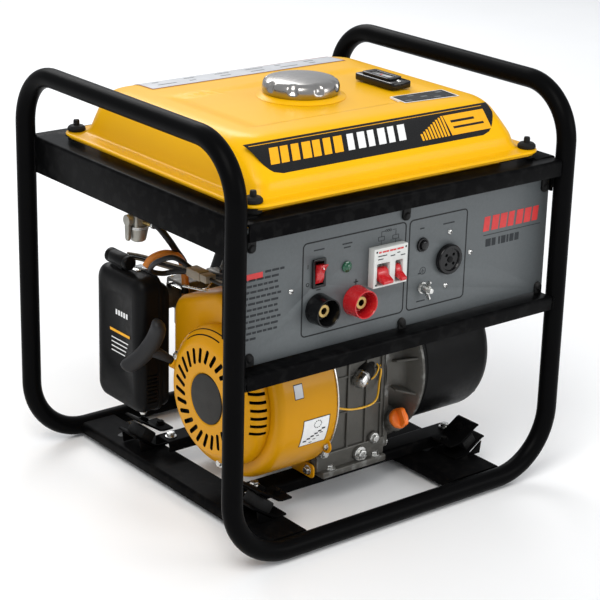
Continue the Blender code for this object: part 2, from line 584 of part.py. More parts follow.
def build_engine():
    crank_y, crank_z = CRANK.y, CRANK.z
    case_x, case_y, case_z = (-0.0580, 0.0395), (-0.1240, -0.0060), (0.0385, 0.1960)
    case = box("crankcase", case_x, case_y, case_z, ALUMINIUM)
    foot = box("crankcase_foot", (-0.052, 0.0385), (-0.1330, 0.0800), (0.0385, 0.0465), cutter=True)
    chamber = rod("crank_chamber", (-0.050, crank_y, crank_z), (0.06, crank_y, crank_z), 0.050,
                  segments=20, cutter=True)
    sump = box("sump", (-0.048, 0.07), (-0.113, -0.022), (0.051, 0.120), cutter=True)
    shaft_hole = rod("case_shaft_hole", (-0.07, crank_y, crank_z), (-0.030, crank_y, crank_z), 0.0105,
                     segments=16, cutter=True)
    cut(fuse(case, foot), chamber, sump, shaft_hole)

    # side cover on the alternator side, flaring to the ring that carries the alternator
    cover = box("crankcase_cover", (0.0400, 0.0470), case_y, (0.0470, case_z[1]), ALUMINIUM)
    bell = turned("bell", [(0.060, 0.0210), (0.060, 0.0262), (0.088, 0.0262), (0.088, 0.0215),
                           (0.064, 0.0130), (0.057, -0.0040), (0.049, -0.0040)],
                  (0.0450, crank_y, crank_z), X_AXIS, steps=28, cutter=True)
    bell_bore = rod("bell_bore", (0.0420, crank_y, crank_z), (0.09, crank_y, crank_z), 0.050,
                    segments=24, cutter=True)
    cover_bore = rod("cover_shaft_hole", (0.03, crank_y, crank_z), (0.06, crank_y, crank_z), 0.0105,
                     segments=20, cutter=True)
    boss = rod("filler_boss", FILLER - FILLER_AIM * 0.034, FILLER - FILLER_AIM * GAP * 2, 0.0102,
               segments=16, cutter=True)
    filler_bore = rod("filler_bore", FILLER - FILLER_AIM * 0.016, FILLER + FILLER_AIM * 0.02, 0.0070,
                      segments=16, cutter=True)
    cut(fuse(cover, bell, boss), bell_bore, cover_bore, filler_bore)
    turned("oil_dipstick", [(0, 0.0170), (0.0100, 0.0165), (0.0115, 0.0145), (0.0115, GAP),
                            (0.0060, GAP), (0.0060, -0.012), (0, -0.012)],
           FILLER, FILLER_AIM, ORANGE, 16)

    # cylinder with cooling fins, its head and rocker cover, leaning towards the back
    along = Vector((0, math.cos(CYLINDER_TILT), math.sin(CYLINDER_TILT)))
    across = Vector((0, -along.z, along.y))
    start, pitch, fins, core, fin = 0.074, 0.0085, 9, 0.033, 0.047
    upper = [(start, core)]
    for i in range(fins):
        at = start + 0.004 + pitch * i
        upper += [(at, core), (at, fin), (at + 0.003, fin), (at + 0.003, core)]
    end = start + pitch * fins
    upper += [(end, core), (end, 0.042), (end + 0.020, 0.042), (end + 0.020, 0.036), (end + 0.048, 0.033)]
    comb = upper + [(a, -b) for a, b in reversed(upper)]
    outline = [(crank_y + along.y * a + across.y * b, crank_z + along.z * a + across.z * b)
               for a, b in comb]
    head = prism("cylinder_head", outline, -0.044, 0.038, ALUMINIUM)
    clear = box("case_clearance", (-0.07, 0.05), (-0.14, case_y[1] + GAP), (0.03, 0.26), cutter=True)
    cut(head, clear)

    shroud = prism("fan_shroud", shroud_outline(0), SHROUD_X[0], SHROUD_X[1] + 0.020, YELLOW)
    bevel(shroud, 0.010, 2, 60)
    hollow = prism("shroud_hollow", shroud_outline(0.0025), SHROUD_X[0] + 0.0025, 0, cutter=True)
    bevel(hollow, 0.009, 2, 60)
    mouth = rod("shroud_mouth", (-0.2, crank_y, crank_z), (-0.1, crank_y, crank_z), 0.070,
                segments=32, cutter=True)
    rear = box("shroud_rear", (SHROUD_X[1], 0.02), (-0.2, 0.1), (0, 0.3), cutter=True)
    cut(shroud, rear, hollow, mouth)

    face, back = RECOIL_FACE, SHROUD_X[0] - GAP
    depth = back - face
    wall = 0.0025
    outer = [(0, depth), (0.0607, depth), (0.0650, depth - 0.0025), (0.0745, depth - 0.0105),
             (RECOIL_R, depth - 0.0175), (RECOIL_R, 0)]
    inner = [(RECOIL_R - wall, 0), (RECOIL_R - wall, depth - 0.018), (0.0730, depth - 0.0125),
             (0.0600, depth - wall), (0, depth - wall)]
    recoil = turned("recoil_housing", outer + inner, (back, crank_y, crank_z), -X_AXIS, YELLOW, 32)
    rope_hole = rod("rope_hole", GUIDE - ROPE_AIM * 0.012, GUIDE + ROPE_AIM * 0.004, 0.0046,
                    segments=12, cutter=True)
    guide = rod("rope_guide", GUIDE - ROPE_AIM * 0.006, GUIDE, 0.0075, segments=16, cutter=True)
    cut(fuse(recoil, guide), rope_hole)

    # rope pulley of the recoil starter, with its groove
    turned("recoil_pulley", [(0.006, 0.0080), (0.0480, 0.0080), (0.0480, 0.0060), (0.0400, 0.0050),
                             (0.0400, -0.0010), (0.0480, -0.0020), (0.0480, -0.0040), (0.006, -0.0040)],
           (-0.1520, crank_y, crank_z), -X_AXIS, BLACK_PLASTIC, 20)

    # flywheel with its fan blades and the starter cup
    wheel_x = -0.078
    wheel = turned("flywheel", [(0.0105, 0.0140), (0.030, 0.0140), (0.032, 0.0110), (0.086, 0.0060),
                                (0.086, 0.0), (0.072, -0.010), (0.0105, -0.010)],
                   (wheel_x, crank_y, crank_z), -X_AXIS, ALUMINIUM, 24)
    blades = 10
    for i in range(blades):
        turn = Matrix.Rotation(2 * math.pi * i / blades, 4, "X")
        spot = turn @ Vector((0, 0.066, 0))
        tilt = turn @ Matrix.Rotation(math.radians(25), 4, "X")
        blade = box(f"blade_{i}", (-0.0095, 0.0095), (-0.0165, 0.0165), (-0.0012, 0.0012), cutter=True,
                    turn=tilt)
        blade.data.transform(Matrix.Translation(Vector((wheel_x - 0.013, crank_y, crank_z)) + spot))
        fuse(wheel, blade)

    # crankshaft: one turned shaft with two webs and the crankpin
    profile = [(0, 0.295), (0.0090, 0.295), (0.0090, 0.188), (0.0100, 0.184), (0.0100, 0.0475),
               (0.0090, 0.0440), (0.0090, 0.0100), (0.0065, 0.0080), (0.0065, 0), (0, 0)]
    shaft = turned("crankshaft", profile, (-0.1340, crank_y, crank_z), X_AXIS, STEEL, 20)
    throw = 0.027
    for i, x in enumerate((-0.026, 0.012)):
        web = rod(f"crank_web_{i}", (x, crank_y, crank_z), (x + 0.012, crank_y, crank_z), 0.040,
                  segments=24, cutter=True)
        fuse(shaft, web)
    pin = rod("crankpin", (-0.020, crank_y, crank_z + throw), (0.018, crank_y, crank_z + throw), 0.010,
              segments=16, cutter=True)
    gap = box("web_gap", (-0.0139, 0.0119), (crank_y - 0.045, crank_y + 0.045),
              (crank_z - 0.045, crank_z + throw - 0.0102), cutter=True)
    cut(fuse(shaft, pin), gap)
    rejoin = rod("shaft_core", (-0.020, crank_y, crank_z), (0.018, crank_y, crank_z), 0.0085,
                 segments=20, cutter=True)
    fuse(shaft, rejoin)


def build_starter_grip():
    """A T grip: a neck in line with the rope and a bowed bar across it."""
    base = GUIDE + ROPE_AIM * GAP * 2
    neck_length = 0.030
    top = base + ROPE_AIM * neck_length
    across = Vector((0.42, -0.47, 0.78))
    across = (across - ROPE_AIM * across.dot(ROPE_AIM)).normalized()
    half, bow = 0.037, 0.009
    path = [top + across * half * t + ROPE_AIM * bow * t * t for t in [i / 5 - 1 for i in range(11)]]
    grip = tube("starter_grip", path, 0.0072, BLACK_PLASTIC, 12)
    depsgraph = bpy.context.evaluated_depsgraph_get()
    mesh = bpy.data.meshes.new_from_object(grip.evaluated_get(depsgraph))
    bpy.data.objects.remove(grip, do_unlink=True)
    bm = bmesh.new()
    bm.from_mesh(mesh)
    bmesh.ops.remove_doubles(bm, verts=bm.verts, dist=1e-6)
    bar = add("starter_grip", mesh_from(bm, "starter_grip"), BLACK_PLASTIC)
    neck = rod("grip_neck", base, top + ROPE_AIM * 0.002, 0.0036, segments=12, cutter=True, tip=0.0060)
    fuse(bar, neck)
    set_pivot(bar, base)


def build_alternator():
    crank_y, crank_z = CRANK.y, CRANK.z
    length = ALT_X[1] - ALT_X[0]
    wall, round_r = 0.0020, 0.014
    corner = arc((ALT_R - round_r, length - round_r), round_r, 90, 0, 3)
    inner_corner = arc((ALT_R - round_r, length - round_r), round_r - wall, 0, 90, 2)
    profile = [(0, length)] + corner + [(ALT_R, 0), (ALT_R - wall, 0)] + inner_corner
    profile += [(0, length - wall)]
    turned("alternator_cover", profile, (ALT_X[0], crank_y, crank_z), X_AXIS, BLACK_PLASTIC, 32)
    # stator: windings on a core, bolted to the bell; the rotor's drum turns around it
    turned("alternator_stator", [(0.0160, 0.052), (0.0560, 0.052), (0.0600, 0.046), (0.0600, 0.012),
                                 (0.0560, 0.006), (0.0160, 0.006)],
           (0.0750, crank_y, crank_z), X_AXIS, COPPER, 20)
    turned("alternator_rotor", [(0.0095, 0.0800), (0.0720, 0.0740), (0.0740, 0.0700), (0.0740, 0.0150),
                                (0.0640, 0.0150), (0.0640, 0.0600), (0.0200, 0.0640), (0.0095, 0.0640)],
           (0.0750, crank_y, crank_z), X_AXIS, STEEL, 24)


def build_intake_and_exhaust():
    # air cleaner: a moulded cover over a base plate
    (x0, x1), (y0, y1), (z0, z1) = CLEANER_X, CLEANER_Y, CLEANER_Z
    split = x1 - 0.006
    cover = box("air_cleaner_cover", (x0, split + 0.020), (y0, y1), (z0, z1), BLACK_PLASTIC)
    bevel(cover, 0.012, 3)
    base = box("air_cleaner_base", (split + GAP, x1 + 0.004), (y0 - 0.001, y1 - 0.002),
               (z0 + 0.004, z1 - 0.010), BLACK_PLASTIC)
    bevel(base, 0.006, 2)
    hollow = box("cleaner_hollow", (x0 + 0.0025, x1 + 0.030), (y0 + 0.0025, y1 - 0.0025),
                 (z0 + 0.0025, z1 - 0.0025), cutter=True)
    bevel(hollow, 0.010, 3)
    rear = box("cleaner_rear", (split, x1 + 0.030), (y0 - 0.01, y1 + 0.01), (z0 - 0.01, z1 + 0.01),
               cutter=True)
    cut(cover, rear, hollow)

    intake = CARB
    tract = rod("carburettor", (x1 + 0.004 + GAP, intake.y, intake.z), (-0.0440 - GAP, intake.y, intake.z),
                0.0130, ALUMINIUM, 20)
    body = box("carb_body", (intake.x - 0.018, intake.x + 0.012), (intake.y - 0.018, intake.y + 0.018),
               (intake.z - 0.017, intake.z + 0.018), cutter=True)
    bowl = rod("carb_bowl", intake - Z_AXIS * 0.042, intake - Z_AXIS * 0.012, 0.0150, segments=20,
               cutter=True)
    inlet = rod("carb_inlet", CARB_INLET - Z_AXIS * 0.012, CARB_INLET, 0.0030, segments=10, cutter=True)
    fuse(tract, body, bowl, inlet)

    pivot = Vector((intake.x - 0.026, intake.y - 0.004, intake.z + 0.0140))
    lever = rod("choke_lever", pivot, pivot + Z_AXIS * 0.004, 0.0050, BLACK_PLASTIC, 16)
    arm = box("choke_arm", (pivot.x - 0.003, pivot.x + 0.003), (pivot.y - 0.030, pivot.y),
              (pivot.z + 0.001, pivot.z + 0.0035), cutter=True)
    knob = rod("choke_knob", pivot + Vector((0, -0.028, 0)), pivot + Vector((0, -0.028, 0.009)), 0.0045,
               segments=12, cutter=True)
    fuse(lever, arm, knob)
    set_pivot(lever, pivot)

    silencer = box("muffler", (0.066, 0.200), (0.106, 0.178), (0.150, 0.248), STEEL)
    bevel(silencer, 0.016, 3)
    port = Vector((0.0380 + GAP, 0.076, 0.207))
    elbow = port + X_AXIS * 0.020
    port_pipe = rod("exhaust_port_pipe", port, elbow + X_AXIS * 0.004, 0.0110, segments=16, cutter=True)
    inlet_pipe = rod("exhaust_inlet_pipe", elbow - Y_AXIS * 0.004, (0.080, 0.125, 0.207), 0.0105,
                     segments=16, cutter=True)
    tail = rod("tail_pipe", (0.180, 0.150, 0.176), (0.212, 0.150, 0.176), 0.0100, segments=16, cutter=True)
    tail_bore = rod("tail_bore", (0.190, 0.150, 0.176), (0.230, 0.150, 0.176), 0.0080, segments=16,
                    cutter=True)

    cut(fuse(silencer, port_pipe, inlet_pipe, tail), tail_bore)


build_frame()

build_rails()
build_base()
build_tank()
build_tank_fittings()
build_panel()
build_fittings()
build_engine()
build_starter_grip()
build_alternator()
build_intake_and_exhaust()
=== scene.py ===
"""Looks of the engine driven welder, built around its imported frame.

Metres, +Z up. X runs along the control panel, Y from the panel to the back.
"""

import math

import bmesh
import bpy
from mathutils import Matrix, Vector


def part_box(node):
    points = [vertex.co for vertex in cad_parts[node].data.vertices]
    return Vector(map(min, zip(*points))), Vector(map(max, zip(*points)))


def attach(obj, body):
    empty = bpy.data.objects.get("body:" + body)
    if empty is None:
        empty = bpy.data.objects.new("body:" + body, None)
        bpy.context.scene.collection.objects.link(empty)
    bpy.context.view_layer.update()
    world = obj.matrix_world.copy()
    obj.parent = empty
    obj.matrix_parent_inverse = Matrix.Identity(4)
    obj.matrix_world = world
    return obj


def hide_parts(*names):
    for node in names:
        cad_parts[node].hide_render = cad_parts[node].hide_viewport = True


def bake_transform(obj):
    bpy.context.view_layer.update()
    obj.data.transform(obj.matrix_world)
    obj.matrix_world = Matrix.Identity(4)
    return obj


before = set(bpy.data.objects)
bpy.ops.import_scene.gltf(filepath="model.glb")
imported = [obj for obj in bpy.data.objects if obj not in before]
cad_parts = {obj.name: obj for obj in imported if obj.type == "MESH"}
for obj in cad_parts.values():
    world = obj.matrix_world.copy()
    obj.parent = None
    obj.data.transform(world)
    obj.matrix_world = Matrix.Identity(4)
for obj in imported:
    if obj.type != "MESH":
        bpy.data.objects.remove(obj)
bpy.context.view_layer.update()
ROOT = "root_frame"
X, Y, Z = Vector((1, 0, 0)), Vector((0, 1, 0)), Vector((0, 0, 1))
SKIN = 0.0002             # how far a decal stands off what it is stuck to

# ---------------------------------------------------------------- dimensions shared with the frame
TUBE_R = 0.011
FRAME_X, FRAME_Y = 0.224, 0.198
FRAME_TOP, FRAME_LOW = 0.456, 0.012
BEND_TOP, BEND_LOW = 0.062, 0.072
PANEL_Y = -0.184
CRANK = Vector((0.0, -0.069, 0.1396))
CAP = Vector((0.0, -0.010, 0.4465))
TAP = Vector((-0.150, 0.084, 0.294))
CARB = Vector((-0.090, 0.074, 0.204))
FILLER = Vector((0.050, -0.137, 0.088))
FILLER_AIM = Vector((-0.12, -0.80, 0.58)).normalized()
GUIDE = Vector((-0.1525, 0.0140, 0.1545))
ROPE_AIM = Vector((-0.780, 0.350, 0.519)).normalized()


# ---------------------------------------------------------------- materials
def link_noise(tree, coords, scale, detail=3.0):
    """A noise texture on object coordinates."""
    noise = tree.nodes.new("ShaderNodeTexNoise")
    noise.inputs["Scale"].default_value = scale
    noise.inputs["Detail"].default_value = detail
    tree.links.new(coords, noise.inputs["Vector"])
    return noise.outputs["Fac"]


def ranged(tree, value, low, high, start=0.3, stop=0.7):
    node = tree.nodes.new("ShaderNodeMapRange")
    node.inputs["From Min"].default_value = start
    node.inputs["From Max"].default_value = stop
    node.inputs["To Min"].default_value = low
    node.inputs["To Max"].default_value = high
    tree.links.new(value, node.inputs["Value"])
    return node.outputs["Result"]


def blended(tree, factor, first, second):
    """Mix two colours; each is a tuple or an output socket."""
    node = tree.nodes.new("ShaderNodeMix")
    node.data_type = "RGBA"
    tree.links.new(factor, node.inputs["Factor"])
    for socket, color in ((node.inputs["A"], first), (node.inputs["B"], second)):
        if isinstance(color, tuple):
            socket.default_value = (*color, 1)
        else:
            tree.links.new(color, socket)
    return node.outputs["Result"]


def shade(color, factor):
    return tuple(min(1.0, c * factor) for c in color)


def surface(name, color, rough, metallic=0.0, coat=0.0, mottle=0.10, mottle_scale=25, rough_vary=0.06,
            bump=0.0, bump_scale=700, wear=None, dust=0.0, specular=0.5):
    """A finish with uneven colour and gloss, fine relief, and optionally worn edges and settled dust."""
    mat = bpy.data.materials.new(name)
    mat.use_nodes = True
    tree = mat.node_tree
    shader = tree.nodes["Principled BSDF"]
    coords = tree.nodes.new("ShaderNodeTexCoord").outputs["Object"]
    broad = link_noise(tree, coords, mottle_scale, 4.0)
    tone = blended(tree, ranged(tree, broad, 0, 1), shade(color, 1 - mottle), shade(color, 1 + mottle))
    if wear:
        geometry = tree.nodes.new("ShaderNodeNewGeometry")
        edge = ranged(tree, geometry.outputs["Pointiness"], 0, 1, 0.53, 0.60)
        patch = ranged(tree, link_noise(tree, coords, 90), 0, 1, 0.50, 0.62)
        both = tree.nodes.new("ShaderNodeMath")
        both.operation = "MULTIPLY"
        tree.links.new(edge, both.inputs[0])
        tree.links.new(patch, both.inputs[1])
        tone = blended(tree, both.outputs[0], tone, wear)
    if dust:
        geometry = tree.nodes.new("ShaderNodeNewGeometry")
        split = tree.nodes.new("ShaderNodeSeparateXYZ")
        tree.links.new(geometry.outputs["Normal"], split.inputs["Vector"])
        up = ranged(tree, split.outputs["Z"], 0, dust, 0.5, 1.0)
        speck = ranged(tree, link_noise(tree, coords, 60, 6.0), 0.2, 1, 0.4, 0.6)
        both = tree.nodes.new("ShaderNodeMath")
        both.operation = "MULTIPLY"
        tree.links.new(up, both.inputs[0])
        tree.links.new(speck, both.inputs[1])
        tone = blended(tree, both.outputs[0], tone, (0.42, 0.40, 0.37))
    tree.links.new(tone, shader.inputs["Base Color"])
    fine = link_noise(tree, coords, mottle_scale * 3.1, 5.0)
    tree.links.new(ranged(tree, fine, rough - rough_vary, rough + rough_vary), shader.inputs["Roughness"])
    if bump:
        relief = tree.nodes.new("ShaderNodeBump")
        relief.inputs["Strength"].default_value = 1.0
        relief.inputs["Distance"].default_value = bump
        tree.links.new(link_noise(tree, coords, bump_scale, 3.0), relief.inputs["Height"])
        tree.links.new(relief.outputs["Normal"], shader.inputs["Normal"])
    shader.inputs["Metallic"].default_value = metallic
    shader.inputs["Coat Weight"].default_value = coat
    shader.inputs["Coat Roughness"].default_value = 0.06
    shader.inputs["Specular IOR Level"].default_value = specular
    return mat


BLACK_PAINT = surface("frame_paint", (0.0024, 0.0024, 0.0026), 0.34, mottle=0.08, rough_vary=0.015,
                      bump=0.00006, bump_scale=420, wear=(0.010, 0.010, 0.010), specular=0.022)
PLATE_PAINT = surface("plate_paint", (0.0026, 0.0026, 0.0028), 0.42, mottle=0.10, rough_vary=0.015,
                      bump=0.00006, bump_scale=500, wear=(0.010, 0.009, 0.008), specular=0.014)
TANK_YELLOW = surface("tank_paint", (0.84, 0.44, 0.0015), 0.32, coat=0.05, mottle=0.025, mottle_scale=9,
                      rough_vary=0.03, bump=0.000015, bump_scale=260, specular=0.12)
FAN_YELLOW = surface("shroud_paint", (0.60, 0.27, 0.0012), 0.34, coat=0.06, mottle=0.04, mottle_scale=14,
                     rough_vary=0.04, bump=0.00003, bump_scale=320, dust=0.01, specular=0.13)
CHROME = surface("cap_chrome", (0.36, 0.345, 0.33), 0.24, 1.0, mottle=0.04, mottle_scale=60, rough_vary=0.03,
                 bump=0.000002, bump_scale=900)
# cast aluminium grey, darkened past the metal's own tone to carry the shade that falls on the crankcase, bell and
# castings under the tank: partly real colour, partly painted shade
CAST_WITH_SHADE = surface("cast_aluminium", (0.088, 0.084, 0.074), 0.50, 0.40, mottle=0.10, mottle_scale=35,
               rough_vary=0.08, bump=0.00014, bump_scale=900, wear=(0.24, 0.24, 0.23))
POT_METAL = surface("tap_metal", (0.36, 0.35, 0.31), 0.42, 0.75, mottle=0.14, mottle_scale=60, rough_vary=0.08,
                    bump=0.00010, bump_scale=900)
MACHINED = surface("machined_aluminium", (0.62, 0.62, 0.61), 0.28, 1.0, mottle=0.08, mottle_scale=70,
                   rough_vary=0.07, bump=0.00004, bump_scale=800)
ZINC = surface("zinc_steel", (0.62, 0.62, 0.60), 0.26, 1.0, mottle=0.12, mottle_scale=120, rough_vary=0.08,
               bump=0.00003, bump_scale=900)
BRASS = surface("brass", (0.48, 0.34, 0.13), 0.30, 1.0, mottle=0.10, mottle_scale=150, rough_vary=0.07,
                bump=0.00002, bump_scale=1200)
PANEL_GREY = surface("panel_paint", (0.088, 0.098, 0.102), 0.42, 0.15, mottle=0.05, mottle_scale=300,
                     rough_vary=0.05, bump=0.00004, bump_scale=1500)
BLACK_PLASTIC = surface("black_plastic", (0.0034, 0.0034, 0.0036), 0.40, mottle=0.2, mottle_scale=50,
                        bump=0.00010, bump_scale=1500, dust=0.012, specular=0.09)
GLOSS_BLACK = surface("gloss_black", (0.0045, 0.0045, 0.0050), 0.20, coat=0.10, specular=0.25, mottle=0.2,
                      mottle_scale=60,
                      rough_vary=0.04, bump=0.00002, bump_scale=700)
GRIP_GREY = surface("grip_rubber", (0.016, 0.016, 0.017), 0.50, mottle=0.15, mottle_scale=40, bump=0.00012,
                    bump_scale=1300, specular=0.25)
RUBBER = surface("rubber", (0.0065, 0.0065, 0.0065), 0.65, mottle=0.3, mottle_scale=60, rough_vary=0.1,
                 bump=0.00015, bump_scale=800, dust=0.05, specular=0.2)
HOSE = surface("hose_rubber", (0.0060, 0.0060, 0.0065), 0.40, mottle=0.3, mottle_scale=90, bump=0.00008,
               bump_scale=900, specular=0.25)
RED = surface("red_plastic", (0.46, 0.010, 0.014), 0.26, coat=0.3, mottle=0.06, mottle_scale=80,
              rough_vary=0.04, bump=0.00002, bump_scale=900)
BREAKER_WHITE = surface("breaker_plastic", (0.60, 0.61, 0.585), 0.38, mottle=0.04, mottle_scale=90,
                        bump=0.00005, bump_scale=1400)
TAN_PLASTIC = surface("connector_plastic", (0.20, 0.16, 0.11), 0.45, mottle=0.08, mottle_scale=90, bump=0.00005,
                      bump_scale=1400)
GREEN = surface("green_lens", (0.0, 0.070, 0.028), 0.14, coat=0.4, mottle=0.15, mottle_scale=200,
                rough_vary=0.03)
ORANGE = surface("orange_plastic", (0.86, 0.17, 0.008), 0.36, mottle=0.06, mottle_scale=70, bump=0.00006,
                 bump_scale=1200)
MUFFLER_STEEL = surface("muffler_steel", (0.30, 0.28, 0.26), 0.42, 0.9, mottle=0.22, mottle_scale=18,
                        rough_vary=0.12, bump=0.00010, bump_scale=500, wear=(0.45, 0.33, 0.22))
COPPER = surface("windings", (0.50, 0.19, 0.06), 0.34, 0.85, mottle=0.25, mottle_scale=400, rough_vary=0.08,
                 bump=0.0002, bump_scale=900)
DARK_PRINT = surface("dark_print", (0.010, 0.011, 0.012), 0.45, specular=0.2, mottle=0.15, mottle_scale=300)
GREY_PRINT = surface("grey_print", (0.022, 0.025, 0.028), 0.5, specular=0.2, mottle=0.12, mottle_scale=300)
DECAL_BLACK = surface("decal_black", (0.008, 0.008, 0.008), 0.30, coat=0.06, specular=0.22, mottle=0.1,
                      mottle_scale=120,
                      bump=0.00001, bump_scale=500)
AMBER_PRINT = surface("amber_print", (0.86, 0.40, 0.008), 0.35, specular=0.25, mottle=0.05, mottle_scale=200)
WHITE_PRINT = surface("white_print", (0.80, 0.80, 0.79), 0.4, mottle=0.04, mottle_scale=200)
SILVER_FOIL = surface("silver_foil", (0.47, 0.48, 0.50), 0.42, 0.15, mottle=0.07, mottle_scale=40,
                      rough_vary=0.08, bump=0.00001, bump_scale=400)
RED_BROWN_PRINT = surface("border_print", (0.26, 0.045, 0.02), 0.45, mottle=0.15, mottle_scale=200)
RED_PRINT = surface("red_print", (0.55, 0.02, 0.02), 0.4, mottle=0.08, mottle_scale=200)
SCREEN_GREY = surface("disc_grey", (0.015, 0.014, 0.012), 0.42, 0.1, specular=0.2, mottle=0.10, mottle_scale=30,
                      bump=0.00008, bump_scale=1400)
YELLOW_WIRE = surface("yellow_wire", (0.80, 0.42, 0.02), 0.4, mottle=0.08, mottle_scale=150)
ORANGE_WIRE = surface("orange_cable", (0.62, 0.20, 0.02), 0.45, mottle=0.14, mottle_scale=90, bump=0.00005,
                      bump_scale=900)
CLEAR = surface("clear_window", (0.55, 0.56, 0.55), 0.08, coat=0.8, mottle=0.05, mottle_scale=90,
                rough_vary=0.02)
FLOOR = surface("floor", (0.94, 0.94, 0.94), 0.75, mottle=0.01, mottle_scale=3, rough_vary=0.05,
                specular=0.2)


# ---------------------------------------------------------------- modelling helpers
def aim(direction):
    """Rotation that takes +Z to the given direction."""
    return Vector(direction).normalized().to_track_quat("Z", "Y").to_matrix().to_4x4()


def facing(direction):
    """Rotation whose +Z is the given direction and whose +Y is as near as can be to the world's +Z."""
    out = Vector(direction).normalized()
    side = Z.cross(out).normalized()
    return Matrix((side, out.cross(side), out)).transposed().to_4x4()


def arc(centre, radius, start, end, steps):
    """Points on an arc in a plane, from start to end degrees."""
    angles = [math.radians(start + (end - start) * i / steps) for i in range(steps + 1)]
    return [(centre[0] + radius * math.cos(a), centre[1] + radius * math.sin(a)) for a in angles]


def rounded_rectangle(x0, x1, y0, y1, radius, steps=6):
    corners = ((x1 - radius, y1 - radius, 0), (x0 + radius, y1 - radius, 90),
               (x0 + radius, y0 + radius, 180), (x1 - radius, y0 + radius, 270))
    points = []
    for cx, cy, start in corners:
        points += arc((cx, cy), radius, start, start + 90, steps)
    return points


def circle(radius, steps=32, centre=(0, 0)):
    return arc(centre, radius, 0, 360, steps)[:-1]


def catmull(points, count):
    """A smooth curve through the points, sampled evenly in its parameter."""
    pts = [Vector(p) for p in points]
    pts = [pts[0] * 2 - pts[1]] + pts + [pts[-1] * 2 - pts[-2]]
    path = []
    for i in range(count + 1):
        place = min(i * (len(pts) - 3) / count, len(pts) - 3 - 1e-9)
        k, t = int(place), place - int(place)
        a, b, c, d = pts[k:k + 4]
        path.append(0.5 * (2 * b + (c - a) * t + (2 * a - 5 * b + 4 * c - d) * t ** 2
                           + (3 * b - a - 3 * c + d) * t ** 3))
    return path


def bent(points, radius, steps=16, closed=False):
    """A path of straight runs with rounded corners; radius is one value or one for each corner."""
    points = [Vector(p) for p in points]
    if closed:
        points = [points[-1]] + points + [points[0]]
    path = [] if closed else [points[0]]
    for i in range(1, len(points) - 1):
        before, corner, after = points[i - 1:i + 2]
        bend = radius[i - 1] if isinstance(radius, (list, tuple)) else radius
        along, away = (corner - before).normalized(), (after - corner).normalized()
        half = along.angle(away) / 2
        centre = corner + (away - along).normalized() * bend / math.cos(half)
        start = corner - along * bend * math.tan(half) - centre
        turn = along.cross(away)
        path += [centre + Matrix.Rotation(2 * half * k / steps, 3, turn) @ start for k in range(steps + 1)]
    return path if closed else path + [points[-1]]


